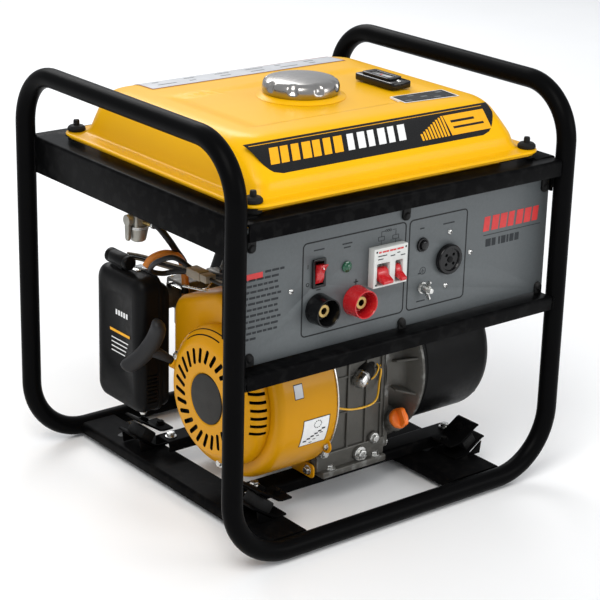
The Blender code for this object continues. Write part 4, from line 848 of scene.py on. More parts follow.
def make_tank_decals():
    band = Piece("tank_front_decal")
    left = lambda s: -0.1400 - 0.0300 * s ** 0.40
    right = lambda s: 0.1320 + 0.0280 * min(1.0, s / 0.55) ** 0.5
    slope_patch(band, left, right, 0.0, 1.0, DECAL_BLACK, 1.0, 14, 40)
    slope_patch(band, lambda s: -0.1650, lambda s: 0.1500, 0.868, 0.892, AMBER_PRINT, 1.6, 1, 30)
    # slanted bars in two colours stand where the original carries lettering
    def bar(start, width, mat, low=0.26, high=0.68):
        lean = 0.0065
        slope_patch(band, lambda s: start + lean * (s - low) / (high - low),
                    lambda s: start + width + lean * (s - low) / (high - low), low, high, mat, 1.6, 4, 2)
    for k in range(7):
        bar(-0.1500 + 0.0137 * k, 0.0098 if k % 3 else 0.0112, AMBER_PRINT)
    for k in range(6):
        bar(-0.0500 + 0.0137 * k, 0.0098 if k % 2 else 0.0085, WHITE_PRINT)
    slope_patch(band, lambda s: 0.0905, lambda s: 0.1475 + 0.002 * s, 0.15, 0.72, AMBER_PRINT, 1.6, 8, 8)
    for k in range(9):
        reach = 0.28 + 0.44 * (k + 1) / 9
        start = 0.0500 + 0.0045 * k
        slope_patch(band, lambda s: start - 0.002 + 0.004 * s, lambda s: start + 0.0007 + 0.004 * s, 0.15, reach,
                    AMBER_PRINT, 1.6, 4, 1)
    for s, length in ((0.48, 0.034), (0.32, 0.044)):
        slope_patch(band, lambda a: 0.0970, lambda a: 0.0970 + length, s, s + 0.06, DARK_PRINT, 2.0, 1, 6)
    band.done(slot="black_plastic")

    top = Piece("tank_top_labels")
    skin = bpy.data.objects["tank_top_pressing"]

    def touch(point):
        _, spot, _, _ = skin.ray_cast(Vector((point[0], point[1], 0.6)), -Z)
        return spot.copy()

    def drape(corners, lift, mat, columns=60, rows=16, bridge=None):
        """A thin sheet between four corners, laid on the tank's top.

        bridge gives three points of a plane that the sheet's upper side does not dip under.
        """
        a, b, c, d = (Vector(p) for p in corners)
        if bridge:
            base, one, two = (touch(p) for p in bridge)
            flat = (one - base).cross(two - base)
        bm = bmesh.new()
        sheets = []
        for height in (lift, lift - 0.00012):
            grid = []
            for i in range(rows + 1):
                left, right = a.lerp(d, i / rows), b.lerp(c, i / rows)
                line = []
                for k in range(columns + 1):
                    x, y = left.lerp(right, k / columns)
                    z = touch((x, y)).z
                    if bridge and not sheets:
                        z = max(z, base.z - (flat.x * (x - base.x) + flat.y * (y - base.y)) / flat.z)
                    line.append(bm.verts.new((x, y, z + height)))
                grid.append(line)
            sheets.append(grid)
        for grid in sheets:
            for low, high in zip(grid, grid[1:]):
                for k in range(columns):
                    bm.faces.new((low[k], low[k + 1], high[k + 1], high[k]))
        front, back = sheets
        edge = [(0, k) for k in range(columns)] + [(i, columns) for i in range(rows)]
        edge += [(rows, k) for k in range(columns, 0, -1)] + [(i, 0) for i in range(rows, 0, -1)]
        for (i, k), (j, m) in zip(edge, edge[1:] + edge[:1]):
            bm.faces.new((front[i][k], front[j][m], back[j][m], back[i][k]))
        top.take(bm, mat)

    def within(corners, u0, u1, v0, v1):
        a, b, c, d = (Vector(p) for p in corners)
        at = lambda u, v: a.lerp(b, u).lerp(d.lerp(c, u), v)
        return at(u0, v0), at(u1, v0), at(u1, v1), at(u0, v1)
    notice = ((-0.126, 0.091), (0.147, 0.092), (0.144, 0.123), (-0.127, 0.131))
    drape(notice, 0.00045, RED_BROWN_PRINT, 120)
    drape(within(notice, 0.006, 0.994, 0.04, 0.88), 0.00055, SILVER_FOIL, 120)
    for k in range(6):
        for row in range(2):
            start = 0.06 + 0.155 * k
            width = 0.09 - 0.02 * ((row * 7 + k * 3) % 4)
            drape(within(notice, start, start + width, 0.30 + 0.30 * row, 0.36 + 0.30 * row), 0.00065, PANEL_GREY,
                  16, 2)
    small = ((0.0686, -0.1047), (0.142, -0.111), (0.145, -0.0784), (0.0726, -0.0748))
    bridge = small[:3]
    drape(small, 0.00055, WHITE_PRINT, bridge=bridge)
    drape(within(small, 0.025, 0.975, 0.05, 0.95), 0.00065, DARK_PRINT, bridge=bridge)
    for k in range(5):
        for row in range(3):
            start = 0.07 + 0.18 * k
            drape(within(small, start, start + 0.12, 0.16 + 0.26 * row, 0.30 + 0.26 * row), 0.00075,
                  GREY_PRINT if (k + row) % 3 else PANEL_GREY, 8, 4, bridge)
    top.done(slot="black_plastic")


# ---------------------------------------------------------------- control panel
FRONT = facing(-Y)        # local x runs along the panel, local y is up


def on_panel(x, z, out=0.0):
    return Matrix.Translation((x, PANEL_Y - out, z)) @ FRONT


def outline_ring(x0, x1, z0, z1, radius, width):
    """An outline and the hole inside it, for a printed frame line."""
    inner = rounded_rectangle(x0 + width, x1 - width, z0 + width, z1 - width, max(radius - width, 0.0003))
    return rounded_rectangle(x0, x1, z0, z1, radius), inner


def make_panel():
    lo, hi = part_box("control_panel")
    panel = Piece("control_panel_sheet")
    outline = rounded_rectangle(lo.x, hi.x, lo.z, hi.z, 0.002)
    holes = [rounded_rectangle(-0.1154, -0.1030, 0.2913, 0.3187, 0.0004),
             rounded_rectangle(-0.0425, 0.0040, 0.2760, 0.3195, 0.0004),
             circle(0.0045, 24, (-0.0721, 0.3047)), circle(0.0145, 40, (0.0685, 0.2872)),
             circle(0.0052, 24, (0.0313, 0.3095)), circle(0.0032, 20, (0.0344, 0.2607)),
             circle(0.0100, 32, (-0.1085, 0.2665)), circle(0.0100, 32, (-0.0590, 0.2655))]
    panel.plate(outline, 0.0015, PANEL_GREY, on_panel(0, 0), holes=holes, edge=0.0002)
    panel.done(slot="panel_grey", replaces=("control_panel",))

    ink = Piece("control_panel_printing")
    for x0, x1 in ((-0.130, 0.008), (0.012, 0.095)):
        ring, inner = outline_ring(x0, x1, 0.238, 0.3395, 0.0055, 0.0014)
        ink.plate(ring, SKIN, DARK_PRINT, on_panel(0, 0, SKIN), holes=(inner,))

    def bar(x, z, width, height=0.0011, mat=GREY_PRINT):
        ink.plate([(x, z), (x + width, z), (x + width, z + height), (x, z + height)], SKIN, mat,
                  on_panel(0, 0, SKIN))
    # captions as plain bars
    for x, z, width in ((-0.1155, 0.3290, 0.0135), (-0.0785, 0.3290, 0.0130), (-0.0765, 0.3250, 0.0090),
                        (0.0270, 0.3270, 0.0060), (0.0600, 0.3265, 0.0160), (0.0265, 0.2455, 0.0120),
                        (0.0270, 0.2770, 0.0040)):
        bar(x, z, width, 0.0013)
    # rocker marks: a stroke for on and a ring for off
    bar(-0.1232, 0.3115, 0.0008, 0.0045, DARK_PRINT)
    ink.plate(circle(0.0021, 24, (-0.1228, 0.2945)), SKIN, DARK_PRINT, on_panel(0, 0, SKIN),
              holes=(circle(0.0014, 24, (-0.1228, 0.2945)),))
    # polarity signs
    bar(-0.1112, 0.2862, 0.0056, 0.0012, DARK_PRINT)
    bar(-0.0618, 0.2850, 0.0060, 0.0012, DARK_PRINT)
    bar(-0.0594, 0.2826, 0.0012, 0.0060, DARK_PRINT)
    # earth sign in a ring
    ring = circle(0.0042, 28, (0.0335, 0.2800))
    ink.plate(ring, SKIN, GREY_PRINT, on_panel(0, 0, SKIN), holes=(circle(0.0036, 28, (0.0335, 0.2800)),))
    for k, width in enumerate((0.0046, 0.0030, 0.0014)):
        bar(0.0335 - width / 2, 0.2795 - 0.0013 * k, width, 0.0005)
    bar(0.0333, 0.2798, 0.0005, 0.0022)
    # circuit sketch above the breaker
    for x, z in ((-0.0305, 0.3240), (-0.0110, 0.3230)):
        ring, inner = outline_ring(x, x + 0.0085, z, z + 0.0048, 0.0004, 0.0005)
        ink.plate(ring, SKIN, GREY_PRINT, on_panel(0, 0, SKIN), holes=(inner,))
        bar(x + 0.0041, z - 0.0040, 0.0005, 0.0040)
        bar(x + 0.0041, z + 0.0048, 0.0005, 0.0050)
    for x, width in ((-0.0262, 0.0050), (-0.0112, 0.0048)):
        bar(x, 0.3335, width, 0.0005)
    for k in range(3):
        ring = circle(0.0014, 16, (-0.0198 + 0.0028 * k, 0.3340))
        ink.plate(ring, SKIN, GREY_PRINT, on_panel(0, 0, SKIN), holes=(circle(0.0009, 16,
                (-0.0198 + 0.0028 * k, 0.3340)),))
    # notice at the left: a red tag and lines of small bars
    ink.plate(rounded_rectangle(-0.2030, -0.1800, 0.3135, 0.3200, 0.0005), SKIN, RED_PRINT, on_panel(0, 0, SKIN))
    for row in range(12):
        z = 0.3185 - 0.0062 * row
        x = -0.1770 if row < 1 else -0.2050
        stop = -0.1530 - 0.0022 * ((row * 5) % 4) if row < 11 else -0.1850
        while x < stop - 0.004:
            word = 0.0046 + 0.0014 * ((int(abs(x) * 10000) + row * 3) % 4)
            bar(x, z - 0.0004, min(word, stop - x), 0.0023)
            x += word + 0.0013
    # maker's block at the right: plain bars instead of a name
    for k in range(7):
        slant, x = 0.0016, 0.1190 + 0.0122 * k
        wide = 0.0098 if k % 3 else 0.0086
        points = [(x, 0.3080), (x + wide, 0.3080), (x + wide + slant, 0.3245), (x + slant, 0.3245)]
        ink.plate(points, SKIN, RED_PRINT, on_panel(0, 0, SKIN))
    for k, width in enumerate((0.0075, 0.0055, 0.0026, 0.0066, 0.0026, 0.0060, 0.0060)):
        bar(0.1240 + (0.0, 0.0092, 0.0190, 0.0232, 0.0316, 0.0360, 0.0438)[k], 0.2900, width, 0.0086)
    bar(0.1200, 0.3030, 0.0860, 0.0007)
    ink.done(slot="black_plastic")

    trims = Piece("panel_screws")
    for x, z in ((-0.1440, 0.2916), (0.1014, 0.2883)):
        trims.screw((x, PANEL_Y, z), -Y, 0.0032, ZINC)
    # black rubber clips that hold the panel between the rails
    for x, z in ((-0.1955, 0.3470), (0.0057, 0.3460), (0.2085, 0.3440), (-0.1960, 0.2310), (0.0060, 0.2275),
                 (0.2085, 0.2284)):
        up = 1 if z > 0.3 else -1
        trims.turned([(0, 0.0050), (0.0030, 0.0046), (0.0046, 0.0030), (0.0052, 0.0010), (0.0052, 0), (0, 0)],
                     (x, PANEL_Y, z), -Y, RUBBER, 28)
        trims.block((x - 0.0052, PANEL_Y - 0.0030, z + (0 if up > 0 else -0.0085)),
                    (x + 0.0052, PANEL_Y, z + (0.0150 if up > 0 else 0)), RUBBER, 0.0010)
    trims.done(slot="rubber")


def make_panel_fittings():
    bezel = Piece("rocker_bezel_frame")
    ring = rounded_rectangle(-0.0085, 0.0085, -0.0155, 0.0155, 0.0014)
    well = rounded_rectangle(-0.0053, 0.0053, -0.0126, 0.0126, 0.0008)
    bezel.plate(ring, 0.0022, GLOSS_BLACK, on_panel(-0.1092, 0.3050, 0.0025), holes=(well,), edge=0.0005)
    bezel.plate(rounded_rectangle(-0.0062, 0.0062, -0.0136, 0.0136, 0.0008), 0.018, BLACK_PLASTIC,
                on_panel(-0.1092, 0.3050, 0.0), holes=(well,))
    bezel.block((-0.1145, PANEL_Y + 0.008, 0.2924), (-0.1039, PANEL_Y + 0.018, 0.3176), BLACK_PLASTIC)
    bezel.done(slot="black_plastic", replaces=("rocker_bezel",))

    rocker = Piece("rocker_cap", "rocker")
    face = [(-0.0101, 0.0112), (-0.0105, 0.0106), (-0.0080, 0.0070), (-0.0057, 0.0035), (-0.0045, 0.0010),
            (-0.0041, -0.0010), (-0.0042, -0.0040), (-0.0032, -0.0070), (-0.0012, -0.0110), (0.0, -0.0112),
            (0.0025, -0.0085), (0.0035, 0.0000), (0.0020, 0.0085)]
    rings = [[Vector((x, PANEL_Y + y, 0.3050 + z)) for y, z in face] for x in (-0.1092 - 0.0048, -0.1092 + 0.0048)]
    rocker.loft(rings, RED, edge=0.0005)
    rocker.block((-0.1096, PANEL_Y - 0.0092, 0.3108), (-0.1088, PANEL_Y - 0.0082, 0.3134), WHITE_PRINT, 0,
                 turn=Matrix.Rotation(math.radians(-35), 4, "X"))
    rocker.done(slot="red_plastic", replaces=("rocker_button",))

    lamp = Piece("pilot_lamp_lens")
    lamp.turned([(0, 0.0046), (0.0020, 0.0043), (0.0036, 0.0034), (0.0047, 0.0020), (0.0047, 0.0014),
                 (0.0042, 0.0014), (0.0042, -0.012), (0, -0.012)], (-0.0721, PANEL_Y, 0.3047), -Y, GREEN, 40)
    lamp.turned([(0.0045, 0.0022), (0.0058, 0.0016), (0.0060, 0.0003), (0.0044, 0.0003)],
                (-0.0721, PANEL_Y, 0.3047), -Y, GREEN, 40)
    lamp.done(slot="green_lens", replaces=("pilot_lamp",))

    for name, x, z, mat, slot in (("negative", -0.1085, 0.2665, GLOSS_BLACK, "black_plastic"),
                                  ("positive", -0.0590, 0.2655, RED, "red_plastic")):
        socket = Piece(f"weld_socket_{name}_moulding")
        spot = (x, PANEL_Y, z)
        socket.turned([(0.0072, 0.0100), (0.0072, 0.0030), (0.0120, 0.0030), (0.0126, 0.0050), (0.0137, 0.0184),
                       (0.0142, 0.0190), (0.0148, 0.0190), (0.0152, 0.0186), (0.0164, 0.0020), (0.0166, 0.0003),
                       (0.0090, 0.0003), (0.0090, -0.0140), (0.0072, -0.0140)], spot, -Y, mat, 72)
        socket.turned([(0.0035, 0.0099), (0.0037, 0.0102), (0.0066, 0.0102), (0.0071, 0.0097), (0.0071, -0.0140),
                       (0.0035, -0.0140)], spot, -Y, BRASS, 48)
        for turn in (40, 220):
            a = math.radians(turn)
            away = Vector((math.cos(a), 0, math.sin(a)))
            socket.block(Vector(spot) + away * 0.0095 - Y * 0.0042 - Vector((0.0006, 0, 0.0006)),
                         Vector(spot) + away * 0.0095 - Y * 0.0028 + Vector((0.0006, 0, 0.0006)), mat, 0.0002)
        socket.done(slot=slot, replaces=(f"weld_socket_{name}",))

    lo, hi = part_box("breaker_body")
    body = Piece("breaker_case")
    slots = [rounded_rectangle(-0.0290 - 0.0086, -0.0290 + 0.0086, 0.2785, 0.3025, 0.0012),
             rounded_rectangle(-0.0075 - 0.0052, -0.0075 + 0.0052, 0.2785, 0.3025, 0.0012)]
    front = Matrix.Translation((0, lo.y, 0)) @ FRONT
    body.plate(rounded_rectangle(lo.x, hi.x, lo.z, hi.z, 0.0008), 0.0130, BREAKER_WHITE, front, holes=slots,
               edge=0.0007)
    body.block((lo.x + 0.0003, lo.y + 0.0130, lo.z + 0.0003), (hi.x - 0.0003, hi.y, hi.z - 0.0003), BREAKER_WHITE)
    for k in range(7):
        x = lo.x + 0.0060 + 0.0050 * k
        body.plate([(x, 0.3142), (x + 0.0036 + 0.0009 * (k % 2), 0.3142), (x + 0.0036 + 0.0009 * (k % 2), 0.3160),
                    (x, 0.3160)], SKIN, RED_PRINT, front @ Matrix.Translation((0, 0, SKIN)))
    for x, z, width in ((-0.0370, 0.3105, 0.012), (-0.0370, 0.3070, 0.007), (-0.0200, 0.3085, 0.006),
                        (-0.0110, 0.3105, 0.004), (-0.0060, 0.3070, 0.006)):
        body.plate([(x, z), (x + width, z), (x + width, z + 0.0010), (x, z + 0.0010)], SKIN, GREY_PRINT,
                   front @ Matrix.Translation((0, 0, SKIN)))
    # dark dots at the case's corners: painted shade standing in for the mounting holes
    for x in (lo.x + 0.0035, hi.x - 0.0028):
        for z in (lo.z + 0.0035, hi.z - 0.0035):
            body.rod((x, lo.y - 0.0002, z), (x, lo.y + 0.0004, z), 0.0011, DARK_PRINT, sides=16)
    body.done(slot="breaker_grey", replaces=("breaker_body",))
    for name, part, x, half in (("main", "main_toggle", -0.0290, 0.0072), ("aux", "aux_toggle", -0.0075, 0.0038)):
        toggle = Piece(f"breaker_{name}_lever", part)
        y, z = PANEL_Y - 0.0025, 0.2905
        toggle.rod((x - half, y, z), (x + half, y, z), 0.0064, RED, edge=0.0004, sides=48)
        lever = [(y, z + 0.0040), (y - 0.0080, z - 0.0010), (y - 0.0146, z - 0.0048), (y - 0.0150, z - 0.0056),
                 (y - 0.0150, z - 0.0078), (y - 0.0142, z - 0.0085), (y - 0.0070, z - 0.0070), (y, z - 0.0055)]
        rings = [[Vector((x + side * half * 0.96, a, b)) for a, b in lever] for side in (-1, 1)]
        toggle.loft(rings, RED, edge=0.0005)
        toggle.done(slot="red_plastic", replaces=(f"breaker_{name}_toggle",))

    outlet = Piece("ac_outlet_moulding")
    spot = Vector((0.0685, PANEL_Y, 0.2872))
    outlet.turned([(0, 0.0042), (0.0116, 0.0042), (0.0119, 0.0050), (0.0126, 0.0062), (0.0155, 0.0062),
                   (0.0163, 0.0056), (0.0168, 0.0044), (0.0168, 0.0003), (0.0138, 0.0003), (0.0138, -0.020),
                   (0, -0.020)], spot, -Y, GLOSS_BLACK, 72)
    outlet.plate(circle(0.0035, 32), 0.0008, BLACK_PLASTIC, Matrix.Translation(spot - Y * 0.0050) @ FRONT,
                 edge=0.0002)
    holes = Piece("contact_holes")
    for turn in (45, 135, 225, 315):
        a = math.radians(turn)
        hole = spot + Vector((math.cos(a), 0, math.sin(a))) * 0.0072
        holes.rod(hole - Y * 0.010, hole + Y * 0.008, 0.0019, DARK_PRINT, sides=20)
    outlet.done(slot="black_plastic", replaces=("ac_outlet",), cutters=(holes,))
    screws = Piece("ac_outlet_screws")
    for x, z in ((0.0702, 0.3168), (0.0677, 0.2567)):
        screws.screw((x, PANEL_Y, z), -Y, 0.0032, ZINC)
    screws.done(slot="steel")

    button = Piece("dc_breaker_push", "dc_button")
    spot = Vector((0.0313, PANEL_Y, 0.3095))
    button.turned([(0, 0.0050), (0.0030, 0.0049), (0.0042, 0.0045), (0.0047, 0.0036), (0.0048, 0.0025),
                   (0.0048, -0.0100), (0, -0.0100)], spot, -Y, GLOSS_BLACK, 40)
    button.done(slot="black_plastic", replaces=("dc_breaker_button",))
    ring = Piece("dc_breaker_collar")
    ring.turned([(0.0053, 0.0016), (0.0060, 0.0022), (0.0074, 0.0020), (0.0080, 0.0002), (0.0053, 0.0002)],
                spot, -Y, GLOSS_BLACK, 40)
    ring.done(slot="black_plastic")

    stud = Piece("earth_stud")
    spot = Vector((0.0344, PANEL_Y, 0.2607))
    stud.rod(spot + Y * 0.012, spot - Y * 0.0150, 0.0028, ZINC, edge=0.0004)
    for k in range(14):
        ring_at = spot - Y * (0.0104 + 0.0003 * k)
        if k % 2 == 0:
            stud.rod(ring_at, ring_at - Y * 0.0003, 0.00295, ZINC, sides=24)
    stud.rod(spot, spot - Y * 0.0012, 0.0064, ZINC, edge=0.0002)
    stud.bolt(spot - Y * 0.0012, -Y, 0.0052, ZINC, head=0.0020, washer=False)
    stud.done(slot="steel")
    nut = Piece("earth_wing_nut", "earth_nut")
    nut.turned([(0.0031, -0.0001), (0.0031, 0.0064), (0.0042, 0.0066), (0.0052, 0.0040), (0.0054, 0.0),
                (0.0050, -0.0001)],
               spot - Y * 0.0036, -Y, ZINC, 40)
    for side in (-1, 1):
        wing = [(0.0032, 0.0010), (0.0070, 0.0022), (0.0104, 0.0060), (0.0106, 0.0086), (0.0088, 0.0098),
                (0.0062, 0.0078), (0.0032, 0.0062)]
        rings = [[spot + Vector((dx, -0.0036 - h, side * r)) for r, h in wing] for dx in (-0.0010, 0.0010)]
        nut.loft(rings, ZINC, edge=0.0004)
    nut.done(slot="steel", replaces=("ground_wing_nut",))


# ---------------------------------------------------------------- engine
def side_on(x):
    """A frame on a plane across X that faces -X, its local x along -Y and its local y up."""
    return Matrix.Translation((x, 0, 0)) @ facing(-X)


def flank(points):
    """(y, z) points written in the local frame of side_on."""
    return [(-y, z) for y, z in points]


def shroud_outline(inset):
    points = arc((CRANK.y, CRANK.z), 0.0945 - inset, 112, 345, 72)
    points += [(0.0290 - inset, 0.1215), (0.0340 - inset, 0.1255), (0.036 - inset, 0.131)]
    points += arc((0.010, 0.202), 0.026 - inset, 0, 68, 12)
    points += arc((-0.048, 0.222), 0.026 - inset, 72, 110, 8)
    return points


def make_shroud():
    front, back = -0.138, -0.061
    shroud = Piece("fan_shroud_pressing")
    rings = []
    steps = 8
    for k in range(steps + 1):
        a = math.radians(90 * k / steps)
        rings.append([(front + 0.010 * (1 - math.cos(a)), y, z)
                      for y, z in shroud_outline(0.010 * (1 - math.sin(a)))])
    rings += [[(x, y, z) for y, z in shroud_outline(0)] for x in (-0.100, back)]
    inner = []
    for k in range(steps + 1):
        a = math.radians(90 * k / steps)
        inner.append([(front + 0.0022 + 0.009 * (1 - math.cos(a)), y, z)
                      for y, z in shroud_outline(0.0022 + 0.009 * (1 - math.sin(a)))])
    inner += [[(back + 0.02, y, z) for y, z in shroud_outline(0.0022)]]
    shroud.loft(rings, FAN_YELLOW)
    hollow = Piece("hollow").loft(inner, FAN_YELLOW)
    mouth = Piece("mouth").rod((-0.2, CRANK.y, CRANK.z), (-0.1, CRANK.y, CRANK.z), 0.070, FAN_YELLOW, sides=64)
    shroud.done(smooth=40, slot="yellow_paint", replaces=("fan_shroud",), cutters=(hollow, mouth))

    trim = Piece("fan_shroud_fittings")
    # bright gasket lip where the shroud meets the crankcase
    lip = [(y, z) for y, z in shroud_outline(-0.0016)]
    lip_in = [(y, z) for y, z in shroud_outline(0.0060)]
    trim.plate(flank(lip), 0.0016, MACHINED, side_on(-0.0608), holes=(flank(lip_in),), edge=0.0003)
    # tab at the bottom with its bolt, and flange bolts round the edge
    tab = rounded_rectangle(-0.128, -0.086, 0.0400, 0.0560, 0.005)
    trim.plate(flank(tab), 0.0022, FAN_YELLOW, side_on(-0.0625), edge=0.0005)
    trim.bolt((-0.0626, -0.1190, 0.0485), -X, 0.0045, ZINC, head=0.0035)
    for y, z in ((0.0270, 0.2020), (-0.0480, 0.2405), (-0.1500, 0.1880), (-0.1480, 0.0880)):
        trim.bolt((-0.0626, y, z), -X, 0.0040, ZINC, head=0.0030)
        trim.rod((-0.0626, y, z), (-0.0610, y, z), 0.0085, FAN_YELLOW, edge=0.0004)
    # tinwork strap over the duct
    trim.block((-0.1080, -0.030, 0.2455), (-0.0760, -0.014, 0.2473), BLACK_PAINT, 0.0004)
    trim.done(slot="steel")

    # sticker on the round of the shroud: a dark border, a plain sign and small bars
    label = Piece("shroud_sticker")

    def curved(x0, x1, a0, a1, lift, mat, steps=12):
        radius = 0.0945 + lift
        rows = [[(x, CRANK.y + r * math.cos(a), CRANK.z + r * math.sin(a)) for x, r in
                 ((x0, radius), (x1, radius), (x1, radius - SKIN * 0.7), (x0, radius - SKIN * 0.7))]
                for a in (math.radians(a0 + (a1 - a0) * i / steps) for i in range(steps + 1))]
        label.loft(rows, mat)
    curved(-0.1060, -0.0700, 184, 205, SKIN, DARK_PRINT)
    curved(-0.1050, -0.0710, 184.6, 204.4, SKIN * 1.6, WHITE_PRINT)
    for k in range(6):
        curved(-0.1020 + 0.0045 * k, -0.0975 + 0.0045 * k, 200.2 - 1.5 * k, 201.4 - 1.5 * k, SKIN * 2.2,
               DARK_PRINT, 3)
    for k in range(4):
        curved(-0.0930 + 0.0040 * k, -0.0892 + 0.0040 * k, 202.6 - 2.2 * k, 203.3 - 2.2 * k, SKIN * 2.2,
               DARK_PRINT, 3)
    for k in range(12):
        a = math.radians(30 * k)
        x, turn = -0.0860 + 0.0048 * math.cos(a), 189.0 + 2.6 * math.sin(a)
        curved(x - 0.0007, x + 0.0007, turn - 0.35, turn + 0.35, SKIN * 2.2, GREY_PRINT, 2)
    curved(-0.1170, -0.1050, 158.5, 168.5, SKIN, GREY_PRINT)
    curved(-0.1163, -0.1057, 159.1, 167.9, SKIN * 1.6, SILVER_FOIL)
    label.done(slot="black_plastic")


def make_recoil():
    back, face = -0.1383, -0.1654
    depth = back - face
    spot = (back, CRANK.y, CRANK.z)
    housing = Piece("recoil_housing_pressing")
    outer = [(0, depth - 0.0016), (0.0280, depth - 0.0016), (0.0292, depth - 0.0006), (0.0300, depth),
             (0.0590, depth),
             (0.0607, depth - 0.0004), (0.0632, depth - 0.0014), (0.0660, depth - 0.0034), (0.0700, depth - 0.0066),
             (0.0738, depth - 0.0098), (0.0762, depth - 0.0128), (0.0778, depth - 0.0160), (0.0785, depth - 0.0200),
             (0.0785, 0.0016), (0.0780, 0.0)]
    inner = [(0.0757, 0), (0.0757, depth - 0.0180), (0.0728, depth - 0.0125), (0.0680, depth - 0.0085),
             (0.0600, depth - 0.0026), (0, depth - 0.0040)]
    housing.turned(outer + inner, spot, -X, FAN_YELLOW, 128)
    # the cutters' black plastic passes to the cut walls, so the slots, louvres and slits in the yellow housing get
    # black walls: painted shade in the openings
    tools = Piece("slots")
    for k in range(26):
        a = math.radians(360 * k / 26)
        spin = Matrix.Rotation(a, 4, "X") @ Matrix.Translation((0, 0, 0.0480))
        spin = spin @ Matrix.Rotation(math.radians(20), 4, "X")
        bm = bmesh.new()
        bmesh.ops.create_cube(bm, size=1)
        bmesh.ops.scale(bm, vec=(0.012, 0.0050, 0.0180), verts=bm.verts)
        upright = [e for e in bm.edges if abs((e.verts[0].co - e.verts[1].co).x) > 0.001]
        bmesh.ops.bevel(bm, geom=upright, offset=0.0021, segments=3, profile=0.5, affect="EDGES")
        tools.take(bm, BLACK_PLASTIC, Matrix.Translation((face, CRANK.y, CRANK.z)) @ spin)
    # level louvres in the flank that faces the panel side
    for k in range(6):
        z = 0.1225 + 0.0088 * k
        tools.block((-0.1585, -0.156, z - 0.0017), (-0.1425, -0.128, z + 0.0017), BLACK_PLASTIC, 0)
    # two thin slits that follow the shoulder above the disc
    for radius, x in ((0.0695, -0.1590), (0.0752, -0.1545)):
        turns = [math.radians(50 + 4 * k) for k in range(14)]
        tools.tube([(x, CRANK.y + radius * math.cos(a), CRANK.z + radius * math.sin(a)) for a in turns], 0.0009,
                   BLACK_PLASTIC, 8)
    housing = housing.done(smooth=35, slot="yellow_paint", replaces=("recoil_housing",), cutters=(tools,))
    guide = Piece("rope_guide_boss")
    guide.turned([(0.0046, -0.0080), (0.0046, -0.0004), (0.0052, 0.0), (0.0066, 0.0), (0.0078, -0.0012),
                  (0.0078, -0.0080)],
                 GUIDE, ROPE_AIM, FAN_YELLOW, 48)
    guide.done(slot="yellow_paint")

    disc = Piece("recoil_disc")
    # dark disc on the face and screws round the rim
    front = (face, CRANK.y, CRANK.z)
    disc.turned([(0, 0.0004), (0.0255, 0.0004), (0.0276, 0.0001), (0.0282, -0.0008), (0.0282, -0.0018),
                 (0, -0.0018)],
                front, -X, SCREEN_GREY, 72)
    for k in range(3):
        a = math.radians(20 + 120 * k)
        y, z = CRANK.y + 0.0738 * math.cos(a), CRANK.z + 0.0738 * math.sin(a)
        disc.bolt((face + 0.0108, y, z), -X, 0.0042, ZINC, head=0.0030)
    disc.done(slot="black_plastic")

    screen = Piece("recoil_screen")
    # mesh screen seen behind the slots
    screen.plate(flank(circle(0.0585, 64, (CRANK.y, CRANK.z))), 0.0006, BLACK_PLASTIC, side_on(-0.1612),
                 holes=(flank(circle(0.012, 32, (CRANK.y, CRANK.z))),))
    screen.done(slot="black_plastic")
    paint_node("recoil_pulley", BLACK_PLASTIC)
    paint_node("flywheel", CAST_WITH_SHADE)
    paint_node("crankshaft", MACHINED)


